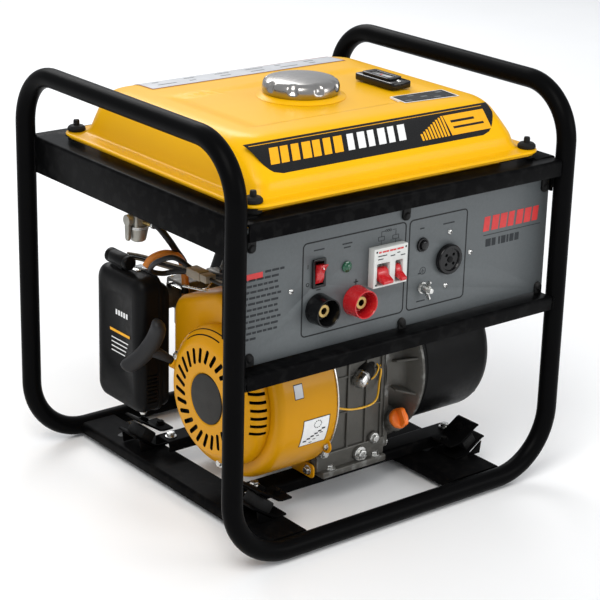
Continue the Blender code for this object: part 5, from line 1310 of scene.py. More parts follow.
def make_crankcase():
    lo, hi = Vector((-0.0580, -0.1240, 0.0385)), Vector((0.0395, -0.0060, 0.1960))
    case = Piece("crankcase_casting")
    outline = rounded_rectangle(lo.y, hi.y, lo.z + 0.002, hi.z, 0.010, 6)
    rings = [[(x, y, z) for y, z in outline] for x in (lo.x, hi.x)]
    case.loft(rings, CAST_WITH_SHADE, edge=0.0016)
    case.block((-0.052, -0.1330, 0.0385), (0.0385, 0.0800, 0.0465), CAST_WITH_SHADE, 0.0018)
    # sump step, ribs and bosses on the front wall
    case.block((lo.x + 0.001, lo.y - 0.0035, 0.046), (hi.x - 0.0005, lo.y + 0.004, 0.0660), CAST_WITH_SHADE, 0.0016)
    for x in (-0.040, -0.014, 0.012, 0.034):
        case.block((x - 0.0014, lo.y - 0.0026, 0.064), (x + 0.0014, lo.y + 0.003, 0.186), CAST_WITH_SHADE, 0.0010)
    for z in (0.108, 0.150):
        case.block((lo.x + 0.004, lo.y - 0.0018, z - 0.0012), (hi.x - 0.004, lo.y + 0.003, z + 0.0012), CAST_WITH_SHADE,
                   0.0008)
    for x, z in ((0.0240, 0.0680), (-0.0480, 0.0680), (-0.0480, 0.1820), (0.0300, 0.1820)):
        case.rod((x, lo.y + 0.002, z), (x, lo.y - 0.0040, z), 0.0072, CAST_WITH_SHADE, edge=0.0008)
    case.rod((0.002, lo.y, 0.0555), (0.002, lo.y - 0.0062, 0.0555), 0.0088, CAST_WITH_SHADE, edge=0.0010)
    # oil seal ring at the fan side
    case.turned([(0.0105, 0.0), (0.0105, 0.0035), (0.0220, 0.0035), (0.0240, 0.0020), (0.0240, 0.0)],
                (lo.x, CRANK.y, CRANK.z), -X, CAST_WITH_SHADE, 64)
    hollow = Piece("inside")
    hollow.rod((-0.050, CRANK.y, CRANK.z), (0.06, CRANK.y, CRANK.z), 0.050, MACHINED, sides=64)
    hollow.block((-0.048, -0.113, 0.051), (0.07, -0.022, 0.120), MACHINED, 0)
    bore = Piece("bore").rod((-0.07, CRANK.y, CRANK.z), (-0.030, CRANK.y, CRANK.z), 0.0105, MACHINED, sides=40)
    case.done(smooth=35, slot="cast_aluminium", replaces=("crankcase",), cutters=(hollow, bore))

    bolts = Piece("crankcase_bolts")
    for x, z in ((0.0240, 0.0680), (-0.0480, 0.0680), (-0.0480, 0.1820), (0.0300, 0.1820)):
        bolts.bolt((x, lo.y - 0.0040, z), -Y, 0.0046, ZINC)
    bolts.bolt((0.002, lo.y - 0.0062, 0.0555), -Y, 0.0062, ZINC, turn=0.3)
    for y in (-0.126, 0.070):
        for x in (-0.038, 0.026):
            bolts.bolt((x, y, 0.0465), Z, 0.0052, ZINC)
    # oil sensor can with its clip
    at = Vector((0.006, lo.y - 0.0022, 0.148))
    aside = Vector((-0.80, -0.42, -0.42)).normalized()
    bolts.turned([(0, 0.0160), (0.0050, 0.0160), (0.0072, 0.0152), (0.0084, 0.0134), (0.0086, 0.0040),
                  (0.0092, 0.0034),
                  (0.0092, 0.0), (0, 0)], at, aside, MACHINED, 12)
    bolts.block(at + Vector((-0.0040, -0.0020, -0.0140)), at + Vector((0.0080, 0.0030, -0.0040)), CAST_WITH_SHADE, 0.0012)
    bolts.done(slot="steel")
    boot = Piece("sensor_boot")
    boot.turned([(0, 0.0), (0.0096, 0.0), (0.0102, 0.0012), (0.0102, 0.0100), (0.0088, 0.0125), (0.0070, 0.0150),
                 (0.0060, 0.0240), (0.0040, 0.0290), (0, 0.0290)], at + aside * 0.0010, -aside, RUBBER, 48)
    boot.done(slot="rubber")

    wires = Piece("sensor_wires")
    a = at - aside * 0.0260 + Vector((0, -0.002, -0.002))
    b = Vector((-0.056, -0.1275, 0.1400))
    wires.tube(catmull([a, a + Vector((0.006, -0.007, -0.006)), a + Vector((0.002, -0.010, -0.022)),
                        (0.012, -0.1400, 0.119), (-0.016, -0.1380, 0.1160), (-0.040, -0.1320, 0.1220),
                        b + Vector((0.006, -0.003, -0.012)), b], 56), 0.0012, YELLOW_WIRE, 12)
    wires.tube(catmull([a + Vector((-0.002, -0.002, 0.001)), a + Vector((0.001, -0.009, -0.005)),
                        a + Vector((-0.008, -0.010, -0.016)), a + Vector((-0.018, -0.006, -0.014)),
                        at + Vector((-0.004, -0.011, -0.006))], 32), 0.0010, YELLOW_WIRE, 12)
    wires.block(b + Vector((-0.003, -0.002, -0.004)), b + Vector((0.004, 0.005, 0.006)), ZINC, 0.0008)
    wires.done(slot="rubber")


def make_cover():
    cover = Piece("crankcase_cover_casting")
    outline = rounded_rectangle(-0.1240, -0.0060, 0.0470, 0.1960, 0.010, 6)
    cover.loft([[(x, y, z) for y, z in outline] for x in (0.0400, 0.0470)], CAST_WITH_SHADE, edge=0.0010)
    cover.turned([(0.0600, 0.0215), (0.0600, 0.0262), (0.0868, 0.0262), (0.0880, 0.0250), (0.0880, 0.0218),
                  (0.0850, 0.0200), (0.0700, 0.0152), (0.0640, 0.0125), (0.0600, 0.0060), (0.0570, -0.0040),
                  (0.0490, -0.0040)], (0.0450, CRANK.y, CRANK.z), X, CAST_WITH_SHADE, 96)
    for k in range(12):
        a = math.radians(30 * k + 15)
        out = Vector((0, math.cos(a), math.sin(a)))
        root = Vector((0.047, CRANK.y, CRANK.z))
        side = X.cross(out) * 0.0014
        wedge = [root + out * 0.057, root + out * 0.057 + X * 0.0135, root + out * 0.084 + X * 0.0205,
                 root + out * 0.084 + X * 0.0180, root + out * 0.068]
        cover.loft([[p + side for p in wedge], [p - side for p in wedge]], CAST_WITH_SHADE, edge=0.0006)
    cover.rod(FILLER - FILLER_AIM * 0.034, FILLER - FILLER_AIM * 0.0006, 0.0102, CAST_WITH_SHADE, edge=0.0008, sides=48)
    cover.rod(FILLER - FILLER_AIM * 0.010, FILLER - FILLER_AIM * 0.0006, 0.0122, CAST_WITH_SHADE, edge=0.0010, sides=48)
    tools = [Piece("bell_bore").rod((0.0420, CRANK.y, CRANK.z), (0.09, CRANK.y, CRANK.z), 0.050, MACHINED,
                                    sides=72),
             Piece("shaft_bore").rod((0.03, CRANK.y, CRANK.z), (0.06, CRANK.y, CRANK.z), 0.0105, MACHINED,
                                     sides=40),
             Piece("filler_bore").rod(FILLER - FILLER_AIM * 0.016, FILLER + FILLER_AIM * 0.02, 0.0070, MACHINED,
                                      sides=40)]
    cover.done(smooth=35, slot="cast_aluminium", replaces=("crankcase_cover",), cutters=tools)
    bolts = Piece("cover_bolts")
    for y, z in ((-0.1175, 0.0540), (-0.0125, 0.0540), (-0.1175, 0.1890), (-0.0125, 0.1890), (-0.0650, 0.0530)):
        bolts.bolt((0.0470, y, z), X, 0.0042, ZINC)
    for k in range(6):
        a = math.radians(60 * k + 8)
        bolts.bolt((0.0700, CRANK.y + 0.0838 * math.cos(a), CRANK.z + 0.0838 * math.sin(a)), -X, 0.0030, ZINC,
                   head=0.0020, washer=False)
    bolts.done(slot="steel")

    plug = Piece("dipstick_cap", "dipstick")
    plug.turned([(0, 0.0072), (0.0080, 0.0070), (0.0104, 0.0058), (0.0114, 0.0040), (0.0115, 0.0008),
                 (0.0112, 0.0003),
                 (0.0060, 0.0003), (0.0060, -0.0100), (0.0050, -0.012), (0, -0.012)], FILLER, FILLER_AIM, ORANGE,
                 64)
    wide = Z - FILLER_AIM * Z.dot(FILLER_AIM)
    wide.normalize()
    thick = FILLER_AIM.cross(wide)
    thumb = [(-0.0092, 0.0030), (-0.0112, 0.0090), (-0.0108, 0.0150), (-0.0074, 0.0178), (0.0074, 0.0172),
             (0.0102, 0.0130), (0.0090, 0.0030)]
    plug.loft([[FILLER + wide * w + FILLER_AIM * h + thick * t for w, h in thumb] for t in (-0.0030, 0.0030)],
              ORANGE, edge=0.0016)
    plug.done(smooth=40, slot="orange_plastic", replaces=("oil_dipstick",))


def make_cylinder():
    """Finned cylinder, its head and rocker cover, leaning towards the back."""
    tilt = math.radians(25)
    along = Vector((0, math.cos(tilt), math.sin(tilt)))
    across = Vector((0, -along.z, along.y))
    place = Matrix.Translation(CRANK) @ Matrix((X, across, along)).transposed().to_4x4()
    head = Piece("cylinder_casting")

    def slab(x0, x1, y0, y1, h0, h1, radius, edge=0.0006, mat=CAST_WITH_SHADE):
        ring = rounded_rectangle(x0, x1, y0, y1, radius, 5)
        head.loft([[(x, y, h) for x, y in ring] for h in (h0, h1)], mat, place, edge=edge)
    slab(-0.036, 0.030, -0.033, 0.033, 0.060, 0.1510, 0.012)
    for k in range(9):
        h = 0.078 + 0.0085 * k
        slab(-0.044, 0.038, -0.047, 0.047, h, h + 0.0026, 0.012, 0.0008)
    slab(-0.042, 0.036, -0.0425, 0.0425, 0.1500, 0.1700, 0.012, 0.0016)
    for k in range(5):
        y = -0.034 + 0.017 * k
        head.loft([[(x, y + d, h) for x, h in ((-0.044, 0.152), (0.038, 0.152), (0.038, 0.168), (-0.044, 0.168))]
                   for d in (-0.0012, 0.0012)], CAST_WITH_SHADE, place, edge=0.0004)
    # pressed rocker cover with its flange and bolts
    slab(-0.038, 0.032, -0.0370, 0.0370, 0.1700, 0.1718, 0.012, 0.0006, BLACK_PAINT)
    dome = [(0.0, 0.1716), (0.0, 0.1890), (0.0012, 0.1935), (0.0045, 0.1970), (0.0090, 0.1980)]
    rings = []
    for inset, h in dome:
        ring = rounded_rectangle(-0.034 + inset, 0.028 - inset, -0.0330 + inset, 0.0330 - inset,
                                 0.013 - inset * 0.6, 6)
        rings.append([(x, y, h) for x, y in ring])
    head.loft(rings, BLACK_PAINT, place)
    for x, y in ((-0.034, -0.0335), (0.028, -0.0335), (-0.034, 0.0335), (0.028, 0.0335)):
        head.bolt(place @ Vector((x, y, 0.1718)), along, 0.0038, ZINC, head=0.0028)
    # exhaust flange and intake flange on the flanks
    head.block((0.030, 0.062, 0.193), (0.0380, 0.090, 0.221), CAST_WITH_SHADE, 0.0015)
    head.block((-0.0440, 0.056, 0.188), (-0.036, 0.092, 0.220), CAST_WITH_SHADE, 0.0015)
    clear = Piece("case_side").block((-0.07, -0.14, 0.03), (0.05, -0.0057, 0.26), CAST_WITH_SHADE, 0)
    port = Piece("port").rod((-0.06, CARB.y, CARB.z), (-0.039, CARB.y, CARB.z), 0.009, MACHINED)
    head.done(smooth=35, slot="cast_aluminium", replaces=("cylinder_head",), cutters=(clear, port))

    # spark plug with its boot and lead
    spark = Piece("spark_plug_lead")
    out = (along * 0.35 + across * 0.75 - X * 0.45).normalized()
    root = place @ Vector((-0.010, 0.0410, 0.1600))
    spark.rod(root, root + out * 0.010, 0.0058, ZINC, edge=0.0006, sides=6)
    spark.rod(root + out * 0.009, root + out * 0.018, 0.0046, BREAKER_WHITE, edge=0.0008)
    boot = root + out * 0.016
    spark.turned([(0, 0.020), (0.0052, 0.0196), (0.0064, 0.0180), (0.0064, 0.0040), (0.0070, 0.0030), (0.0072, 0),
                  (0, 0)], boot, out, RUBBER, 32)
    tip = boot + out * 0.014
    spark.tube(catmull([tip, tip + Vector((-0.012, -0.004, 0.006)), tip + Vector((-0.020, -0.022, 0.006)),
                        (-0.050, 0.040, 0.2600), (-0.058, 0.010, 0.2560), (-0.0600, -0.010, 0.2400)], 40),
               0.0034, HOSE, 16)
    spark.done(slot="rubber")


def make_alternator():
    x0, x1, radius, corner = 0.0715, 0.1795, 0.0807, 0.014
    length = x1 - x0
    cover = Piece("alternator_cover_moulding")
    profile = [(0.0001, length - 0.0016), (0.026, length - 0.0016), (0.0275, length - 0.0004), (0.030, length)]
    profile += [(0.0600, length)] + [(r, h) for r, h in arc((radius - corner, length - corner), corner, 90, 0, 10)]
    profile += [(radius, 0.0100), (radius - 0.0008, 0.0090), (radius - 0.0008, 0.0075), (radius, 0.0066),
                (radius, 0.0006),
                (radius - 0.0005, 0), (radius - 0.0020, 0)]
    profile += [(r, h) for r, h in arc((radius - corner, length - corner), corner - 0.0020, 0, 90, 6)]
    profile += [(0.0001, length - 0.0036)]
    cover.turned(profile, (x0, CRANK.y, CRANK.z), X, BLACK_PLASTIC, 128)
    tools = Piece("vents")
    for k in range(36):
        a = math.radians(10 * k)
        if 62 < 10 * k < 118:
            continue
        spin = Matrix.Rotation(a, 4, "X")
        bm = bmesh.new()
        bmesh.ops.create_cube(bm, size=1)
        bmesh.ops.scale(bm, vec=(0.012, 0.0162, 0.0026), verts=bm.verts)
        tools.take(bm, BLACK_PLASTIC, Matrix.Translation((x1, CRANK.y, CRANK.z)) @ spin
                   @ Matrix.Translation((0, 0.0470, 0)))
    cover.done(smooth=35, slot="black_plastic", replaces=("alternator_cover",), cutters=(tools,))
    fittings = Piece("alternator_bolts")
    for k in range(4):
        a = math.radians(45 + 90 * k)
        y, z = CRANK.y + 0.0700 * math.cos(a), CRANK.z + 0.0700 * math.sin(a)
        fittings.rod((x1 - 0.0080, y, z), (x1 + 0.0008, y, z), 0.0068, BLACK_PLASTIC, edge=0.0008)
        fittings.bolt((x1 + 0.0008, y, z), X, 0.0038, ZINC, head=0.0028)
    fittings.turned([(0, 0.0006), (0.0200, 0.0006), (0.0215, 0.0), (0.0220, -0.0012), (0, -0.0012)],
                    (x1 - 0.0008, CRANK.y, CRANK.z), X, SILVER_FOIL, 64)
    for k in range(3):
        fittings.block((x1 - 0.0005, CRANK.y - 0.012 + 0.002 * k, CRANK.z - 0.008 + 0.0065 * k),
                       (x1 + 0.0001, CRANK.y + 0.012 - 0.003 * k, CRANK.z - 0.0055 + 0.0065 * k), GREY_PRINT, 0)
    fittings.done(slot="steel")

    stator = Piece("stator_windings")
    spot = (0.0750, CRANK.y, CRANK.z)
    stator.turned([(0.0160, 0.0440), (0.0560, 0.0440), (0.0598, 0.0430), (0.0600, 0.0140), (0.0560, 0.0130),
                   (0.0160, 0.0130)], spot, X, MACHINED, 72)
    for k in range(18):
        a = math.radians(20 * k)
        away = Vector((0, math.cos(a), math.sin(a)))
        side = X.cross(away)
        at = Vector(spot) + X * 0.029 + away * 0.0410
        box = [(-0.0225, -0.0052), (0.0225, -0.0052), (0.0225, 0.0052), (-0.0225, 0.0052)]
        stator.loft([[at + X * h + side * w + away * d for h, w in box] for d in (-0.0120, 0.0120)], COPPER,
                    edge=0.0018)
    stator.done(slot="copper_windings", replaces=("alternator_stator",))
    paint_node("alternator_rotor", MACHINED)


# ---------------------------------------------------------------- intake, fuel and starter
def make_air_cleaner():
    (x0, x1), (y0, y1), (z0, z1) = (-0.178, -0.148), (0.040, 0.132), (0.082, 0.242)
    cover = Piece("air_cleaner_moulding")
    rings = []
    steps, edge = 8, 0.012
    for k in range(steps + 1):
        a = math.radians(90 * k / steps)
        inset = edge * (1 - math.sin(a))
        ring = rounded_rectangle(y0 + inset, y1 - inset, z0 + inset, z1 - inset, 0.0150 - inset * 0.4, 8)
        rings.append([(x0 + edge * (1 - math.cos(a)), y, z) for y, z in ring])
    ring = rounded_rectangle(y0, y1, z0, z1, 0.0150, 8)
    rings += [[(x, y, z) for y, z in ring] for x in (-0.160, x1 - 0.0045)]
    lip = rounded_rectangle(y0 - 0.0009, y1 + 0.0009, z0 - 0.0009, z1 + 0.0009, 0.0158, 8)
    rings += [[(x, y, z) for y, z in lip] for x in (x1 - 0.0042, x1)]
    cover.loft(rings, BLACK_PLASTIC)
    inner = []
    for k in range(steps + 1):
        a = math.radians(90 * k / steps)
        inset = 0.0026 + 0.0115 * (1 - math.sin(a))
        ring = rounded_rectangle(y0 + inset, y1 - inset, z0 + inset, z1 - inset, 0.0130 - (inset - 0.0026) * 0.4, 8)
        inner.append([(x0 + 0.0032 + 0.0115 * (1 - math.cos(a)), y, z) for y, z in ring])
    inner.append([(x1 + 0.02, y, z) for _, y, z in inner[-1]])
    tools = [Piece("inside").loft(inner, BLACK_PLASTIC)]
    # oval recess in the outer face
    oval = rounded_rectangle(y0 + 0.0170, y1 - 0.0170, z0 + 0.0420, z1 - 0.0230, 0.0230, 10)
    small = rounded_rectangle(y0 + 0.0188, y1 - 0.0188, z0 + 0.0438, z1 - 0.0248, 0.0212, 10)
    tools.append(Piece("recess").loft([[(x0 - 0.003, y, z) for y, z in oval], [(x0, y, z) for y, z in oval],
                                       [(x0 + 0.0014, y, z) for y, z in small]], BLACK_PLASTIC))
    slots = Piece("slots")
    for k in range(8):
        slots.block((x0 + 0.0105, y0 - 0.004, z0 + 0.0140 + 0.0046 * k),
                    (x1 - 0.0060, y0 + 0.0020, z0 + 0.0162 + 0.0046 * k),
                    BLACK_PLASTIC, 0)
    tools.append(slots)
    cover.done(smooth=40, slot="black_plastic", replaces=("air_cleaner_cover",), cutters=tools)

    marks = Piece("air_cleaner_marks")
    face = side_on(x0 + 0.0014 - SKIN)
    middle, height = (y0 + y1) / 2 - 0.0040, (z0 + z1) / 2 + 0.0030
    for k in range(5):
        y = middle + 0.0080 - 0.0052 * k
        marks.plate(flank([(y, height + 0.026), (y - 0.0032, height + 0.026), (y - 0.0032, height + 0.0320),
                           (y, height + 0.0320)]), SKIN, WHITE_PRINT, face)
    marks.plate(flank([(middle - 0.020, height + 0.0040), (middle + 0.020, height + 0.0040),
                       (middle + 0.020, height + 0.0072), (middle - 0.020, height + 0.0072)]), SKIN, AMBER_PRINT,
                       face)
    for k in range(4):
        low = height - 0.0040 - 0.0052 * k
        marks.plate(flank([(middle - 0.017 + 0.0022 * k, low), (middle + 0.017, low),
                           (middle + 0.017, low + 0.0012),
                           (middle - 0.017 + 0.0022 * k, low + 0.0012)]), SKIN, WHITE_PRINT, face)
    marks.done(slot="black_plastic")
    clips = Piece("air_cleaner_fastening")
    clips.bolt((x1 - 0.0150, y0 + 0.0160, z0 - 0.0008), -Z, 0.0034, ZINC, head=0.0026)
    clips.block((x1 - 0.012, middle - 0.009, z1 - 0.0010), (x1 + 0.006, middle + 0.009, z1 + 0.0012), MACHINED,
                0.0006)
    clips.done(slot="steel")
    base = Piece("air_cleaner_backplate")
    ring = rounded_rectangle(y0 - 0.0010, y1 - 0.0020, z0 + 0.0040, z1 - 0.0100, 0.0140, 8)
    base.loft([[(x, y, z) for y, z in ring] for x in (x1 + 0.0003, x1 + 0.0100)], BLACK_PLASTIC, edge=0.0030)
    base.done(slot="black_plastic", replaces=("air_cleaner_base",))


def make_carburettor():
    carb = Piece("carburettor_casting")
    carb.turned([(0, 0.0933), (0.0128, 0.0933), (0.0130, 0.0700), (0.0118, 0.0660), (0.0118, 0.0280),
                 (0.0130, 0.0240),
                 (0.0130, 0.0), (0, 0)], (-0.1377, CARB.y, CARB.z), X, CAST_WITH_SHADE, 64)
    carb.block(CARB + Vector((-0.018, -0.018, -0.017)), CARB + Vector((0.012, 0.018, 0.018)), CAST_WITH_SHADE, 0.0030, 3)
    carb.turned([(0, 0.0), (0.0090, 0.0), (0.0130, 0.0020), (0.0150, 0.0060), (0.0150, 0.0240), (0.0162, 0.0246),
                 (0.0162, 0.0290), (0, 0.0290)], CARB - Z * 0.042, Z, CAST_WITH_SHADE, 56)
    inlet = CARB + Vector((-0.012, -0.010, 0.026))
    carb.rod(inlet - Z * 0.012, inlet, 0.0030, BRASS, sides=24)
    carb.bolt(CARB - Z * 0.042, -Z, 0.0050, BRASS, head=0.0040, washer=False)
    for x, y in ((-0.013, -0.013), (0.007, -0.013), (-0.013, 0.013), (0.007, 0.013)):
        carb.screw(CARB + Vector((x, y, 0.018)), Z, 0.0024, ZINC)
    carb.block((-0.0520, 0.056, 0.187), (-0.0443, 0.092, 0.221), CAST_WITH_SHADE, 0.0015)
    # throttle spindle and the governor's link
    carb.rod(CARB + Vector((0.006, -0.026, 0.004)), CARB + Vector((0.006, -0.016, 0.004)), 0.0026, BRASS, sides=20)
    carb.block(CARB + Vector((0.001, -0.0285, -0.006)), CARB + Vector((0.011, -0.0265, 0.012)), ZINC, 0.0006)
    carb.tube(bent([CARB + Vector((0.006, -0.0275, 0.010)), CARB + Vector((0.018, -0.0300, 0.024)),
                    CARB + Vector((0.036, -0.0300, 0.030))], 0.006, 6), 0.0010, ZINC, 8)
    carb.done(slot="cast_aluminium", replaces=("carburettor",))

    pivot = Vector((-0.116, 0.070, 0.218))
    choke = Piece("choke_arm_and_knob", "choke")
    choke.rod(pivot, pivot + Z * 0.0040, 0.0050, BLACK_PLASTIC, edge=0.0006)
    choke.rod(pivot + Z * 0.0040, pivot + Z * 0.0050, 0.0024, ZINC, edge=0.0003, sides=20)
    arm = [(-0.0034, 0.001), (0.0034, 0.001), (0.0026, -0.028), (-0.0026, -0.028)]
    choke.loft([[pivot + Vector((x, y, h)) for x, y in arm] for h in (0.0010, 0.0035)], ZINC, edge=0.0005)
    knob = pivot + Vector((0, -0.028, 0))
    choke.turned([(0, 0.0090), (0.0034, 0.0089), (0.0043, 0.0080), (0.0045, 0.0060), (0.0040, 0.0040),
                  (0.0045, 0.0020),
                  (0.0043, 0), (0, 0)], knob, Z, BLACK_PLASTIC, 36)
    choke.rod(knob + Z * 0.0089, knob + Z * 0.0092, 0.0016, WHITE_PRINT, sides=20)
    choke.done(slot="black_plastic", replaces=("choke_lever",))


def make_fuel_line():
    tap = Piece("fuel_tap_casting")
    stem = Vector((TAP.x, TAP.y, 0))
    tap.turned([(0, 0.344), (0.0062, 0.344), (0.0062, 0.3225), (0.0056, 0.3215), (0.0056, 0.3120), (0.0066, 0.3080),
                (0.0070, 0.3000), (0, 0.3000)], stem, Z, POT_METAL, 40)
    tap.bolt(stem + Z * 0.3120, Z, 0.0108, POT_METAL, head=0.0095, washer=False)
    tap.turned([(0, 0.0), (0.0098, 0.0), (0.0110, 0.0010), (0.0110, 0.0022), (0, 0.0022)], stem + Z * 0.3100, Z,
               POT_METAL, 48)
    tap.block((-0.1592, 0.0750, 0.2900), (-0.1400, 0.0930, 0.3080), POT_METAL, 0.0022, 3)
    # sediment bowl screwed on below the body
    tap.turned([(0, 0.2740), (0.0062, 0.2740), (0.0082, 0.2752), (0.0090, 0.2775), (0.0112, 0.2880),
                (0.0115, 0.2905),
                (0.0115, 0.2925), (0, 0.2925)], stem, Z, POT_METAL, 56)
    for h in (0.2896, 0.2912):
        tap.turned([(0.0105, h), (0.0118, h), (0.0118, h + 0.0008), (0.0105, h + 0.0008)], stem, Z, MACHINED, 56)
    tap.rod((TAP.x + 0.002, 0.0780, 0.2970), (TAP.x + 0.005, 0.0600, 0.2970), 0.0030, BRASS, sides=24)
    tap.done(slot="steel", replaces=("fuel_tap_body",))

    lever = Piece("fuel_tap_handle", "tap_lever")
    pivot = Vector((-0.1593, 0.084, 0.300))
    lever.rod(pivot, pivot - X * 0.0070, 0.0065, POT_METAL, edge=0.0008)
    blade = [(-0.0044, 0.0), (0.0044, 0.0), (0.0036, -0.0205), (0.0020, -0.0236), (-0.0020, -0.0236),
             (-0.0036, -0.0205)]
    lever.loft([[Vector((x, pivot.y + y, pivot.z + z)) for y, z in blade] for x in (-0.1658, -0.1618)], POT_METAL,
               edge=0.0010)
    lever.done(slot="steel", replaces=("fuel_tap_lever",))

    start = Vector((TAP.x + 0.0048, 0.0640, 0.2970))
    end = CARB + Vector((-0.012, -0.010, 0.026)) + Z * 0.0003
    hose = Piece("fuel_hose_rubber")
    hose.tube(catmull([start, start + Vector((0.002, -0.010, -0.001)), start + Vector((0.008, -0.022, -0.014)),
                       start.lerp(end, 0.55) + Vector((0.002, -0.010, 0.004)), end + Z * 0.014, end], 72), 0.0038,
                       HOSE, 24)
    for at, way in ((start + Vector((0.0006, -0.0030, 0)), Vector((0.17, -0.98, -0.05))), (end + Z * 0.0035, Z)):
        way = way.normalized()
        hose.turned([(0.0036, -0.0012), (0.0045, -0.0012), (0.0045, 0.0012), (0.0036, 0.0012)], at, way, ZINC, 32)
    hose.done(slot="rubber", replaces=("fuel_hose",))


def make_grip():
    base = GUIDE + ROPE_AIM * 0.0006
    top = base + ROPE_AIM * 0.030
    across = Vector((0.42, -0.47, 0.78))
    across = (across - ROPE_AIM * across.dot(ROPE_AIM)).normalized()
    side = ROPE_AIM.cross(across)
    grip = Piece("starter_handle", "grip")
    rings = []
    for k in range(25):
        t = -1 + 2 * k / 24
        spot = top + across * 0.0372 * t + ROPE_AIM * 0.009 * t * t
        round_end = math.sqrt(max(0.02, 1 - max(0.0, (abs(t) - 0.80) / 0.20) ** 2))
        wide = (0.0102 - 0.0012 * (1 - abs(t))) * round_end
        deep = (0.0092 + 0.0008 * (1 - abs(t))) * round_end
        rings.append([spot + side * wide * math.cos(a) + ROPE_AIM * deep * math.sin(a)
                      for a in (2 * math.pi * i / 28 for i in range(28))])
    grip.loft(rings, GRIP_GREY)
    grip.turned([(0, 0.0300), (0.0086, 0.0300), (0.0074, 0.0240), (0.0060, 0.0160), (0.0050, 0.0080),
                 (0.0044, 0.0010),
                 (0.0040, 0), (0, 0)], base, ROPE_AIM, GRIP_GREY, 40)
    grip.turned([(0, 0.0), (0.0030, 0.0), (0.0034, -0.0006), (0, -0.0006)], top + ROPE_AIM * 0.0076, ROPE_AIM,
                BLACK_PLASTIC, 24)
    grip.done(smooth=60, slot="black_plastic", replaces=("starter_grip",))

    rope = Piece("starter_rope")
    start, end = GUIDE - ROPE_AIM * 0.0100, GUIDE + ROPE_AIM * 0.0045
    frame_x = ROPE_AIM.orthogonal().normalized()
    frame_y = ROPE_AIM.cross(frame_x)
    rings = []
    for k in range(49):
        at = start.lerp(end, k / 48)
        rings.append([at + (frame_x * math.cos(a) + frame_y * math.sin(a)) * 0.0022
                      * (1 + 0.07 * math.cos(3 * a - k * 0.8)) for a in (2 * math.pi * i / 12 for i in range(12))])
    rope.loft(rings, GREY_PRINT)
    mesh = bpy.data.meshes.new("starter_rope")
    rope.mesh.to_mesh(mesh)
    rope.mesh.free()
    cordage = bpy.data.objects.new("starter_rope", mesh)
    bpy.context.scene.collection.objects.link(cordage)
    for mat in rope.mats:
        mesh.materials.append(mat)
    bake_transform(cordage)


def make_exhaust():
    (x0, x1), (y0, y1), (z0, z1) = (0.066, 0.200), (0.106, 0.178), (0.150, 0.248)
    can = Piece("muffler_shell")
    rings = []
    edge, steps = 0.012, 6
    for k in range(steps + 1):
        a = math.radians(90 * k / steps)
        rings.append((x0 + edge * (1 - math.cos(a)), edge * (1 - math.sin(a))))
    rings += [((x0 + x1) / 2 - 0.001, 0.0), ((x0 + x1) / 2 - 0.0008, -0.0010), ((x0 + x1) / 2 + 0.0008, -0.0010),
              ((x0 + x1) / 2 + 0.001, 0.0)]
    rings += [(x1 - (x - x0), inset) for x, inset in rings[steps::-1]]
    can.loft([[(x, y, z) for y, z in rounded_rectangle(y0 + i, y1 - i, z0 + i, z1 - i, 0.018 - i * 0.5, 8)]
              for x, i in rings], MUFFLER_STEEL)
    port = Vector((0.0383, 0.076, 0.207))
    elbow = port + X * 0.020
    can.tube(bent([port, elbow + X * 0.002 + Y * 0.002, Vector((0.074, 0.116, 0.207))], 0.012, 10), 0.0108,
             MUFFLER_STEEL, 28)
    can.block(port + Vector((0, -0.0170, -0.0130)), port + Vector((0.0040, 0.0150, 0.0130)), MUFFLER_STEEL, 0.0010)
    for y in (-0.0125, 0.0110):
        can.bolt(port + Vector((0.0040, y, 0)), X, 0.0036, ZINC, head=0.0030)
    can.turned([(0.0080, 0.012), (0.0100, 0.012), (0.0102, 0.0316), (0.0099, 0.0320), (0.0082, 0.0320),
                (0.0080, 0.0310)],
               (0.180, 0.150, 0.176), X, MUFFLER_STEEL, 48)
    bore = Piece("bore").rod((0.194, 0.150, 0.176), (0.230, 0.150, 0.176), 0.0078, DARK_PRINT, sides=40)
    can.done(smooth=40, slot="steel", replaces=("muffler",), cutters=(bore,))

    guard = Piece("muffler_guard")
    # perforated heat guard standing off the back of the silencer
    holes = []
    for i in range(13):
        for k in range(8 if i % 2 else 7):
            x = x0 + 0.0115 + 0.0092 * i
            z = z0 + 0.0170 + 0.0098 * k - (0.0049 if i % 2 else 0)
            holes.append(rounded_rectangle(-x - 0.0026, -x + 0.0026, z - 0.0036, z + 0.0036, 0.0024, 3))
    back = Matrix.Translation((0, y1 + 0.0060, 0)) @ facing(Y)
    guard.plate(rounded_rectangle(-x1 + 0.003, -x0 - 0.003, z0 + 0.004, z1 - 0.004, 0.006), 0.0012, MUFFLER_STEEL,
                back,
                holes=holes, edge=0.0002)
    for x in (x0 + 0.010, x1 - 0.010):
        for z in (z0 + 0.0120, z1 - 0.0120):
            guard.rod((x, y1 - 0.006, z), (x, y1 + 0.0052, z), 0.0030, MUFFLER_STEEL, sides=20)
            guard.screw((x, y1 + 0.0060, z), Y, 0.0036, ZINC)
    guard.done(slot="steel")
    strap = Piece("muffler_bracket")
    strap.plate([(-0.150, 0.150), (-0.094, 0.150), (-0.085, 0.066), (-0.105, 0.0505), (-0.135, 0.0505)], 0.0025,
                BLACK_PAINT, Matrix.Translation((0, 0.1150, 0)) @ facing(Y), edge=0.0004)
    strap.block((0.085, 0.0760, 0.0465), (0.150, 0.1150, 0.0490), BLACK_PAINT, 0.0006)
    strap.block((0.0300, 0.0560, 0.0465), (0.0900, 0.0780, 0.0490), BLACK_PAINT, 0.0006)
    strap.block((0.0950, 0.1120, 0.1480), (0.1450, 0.1200, 0.1515), BLACK_PAINT, 0.0006)
    strap.done(slot="frame_black")


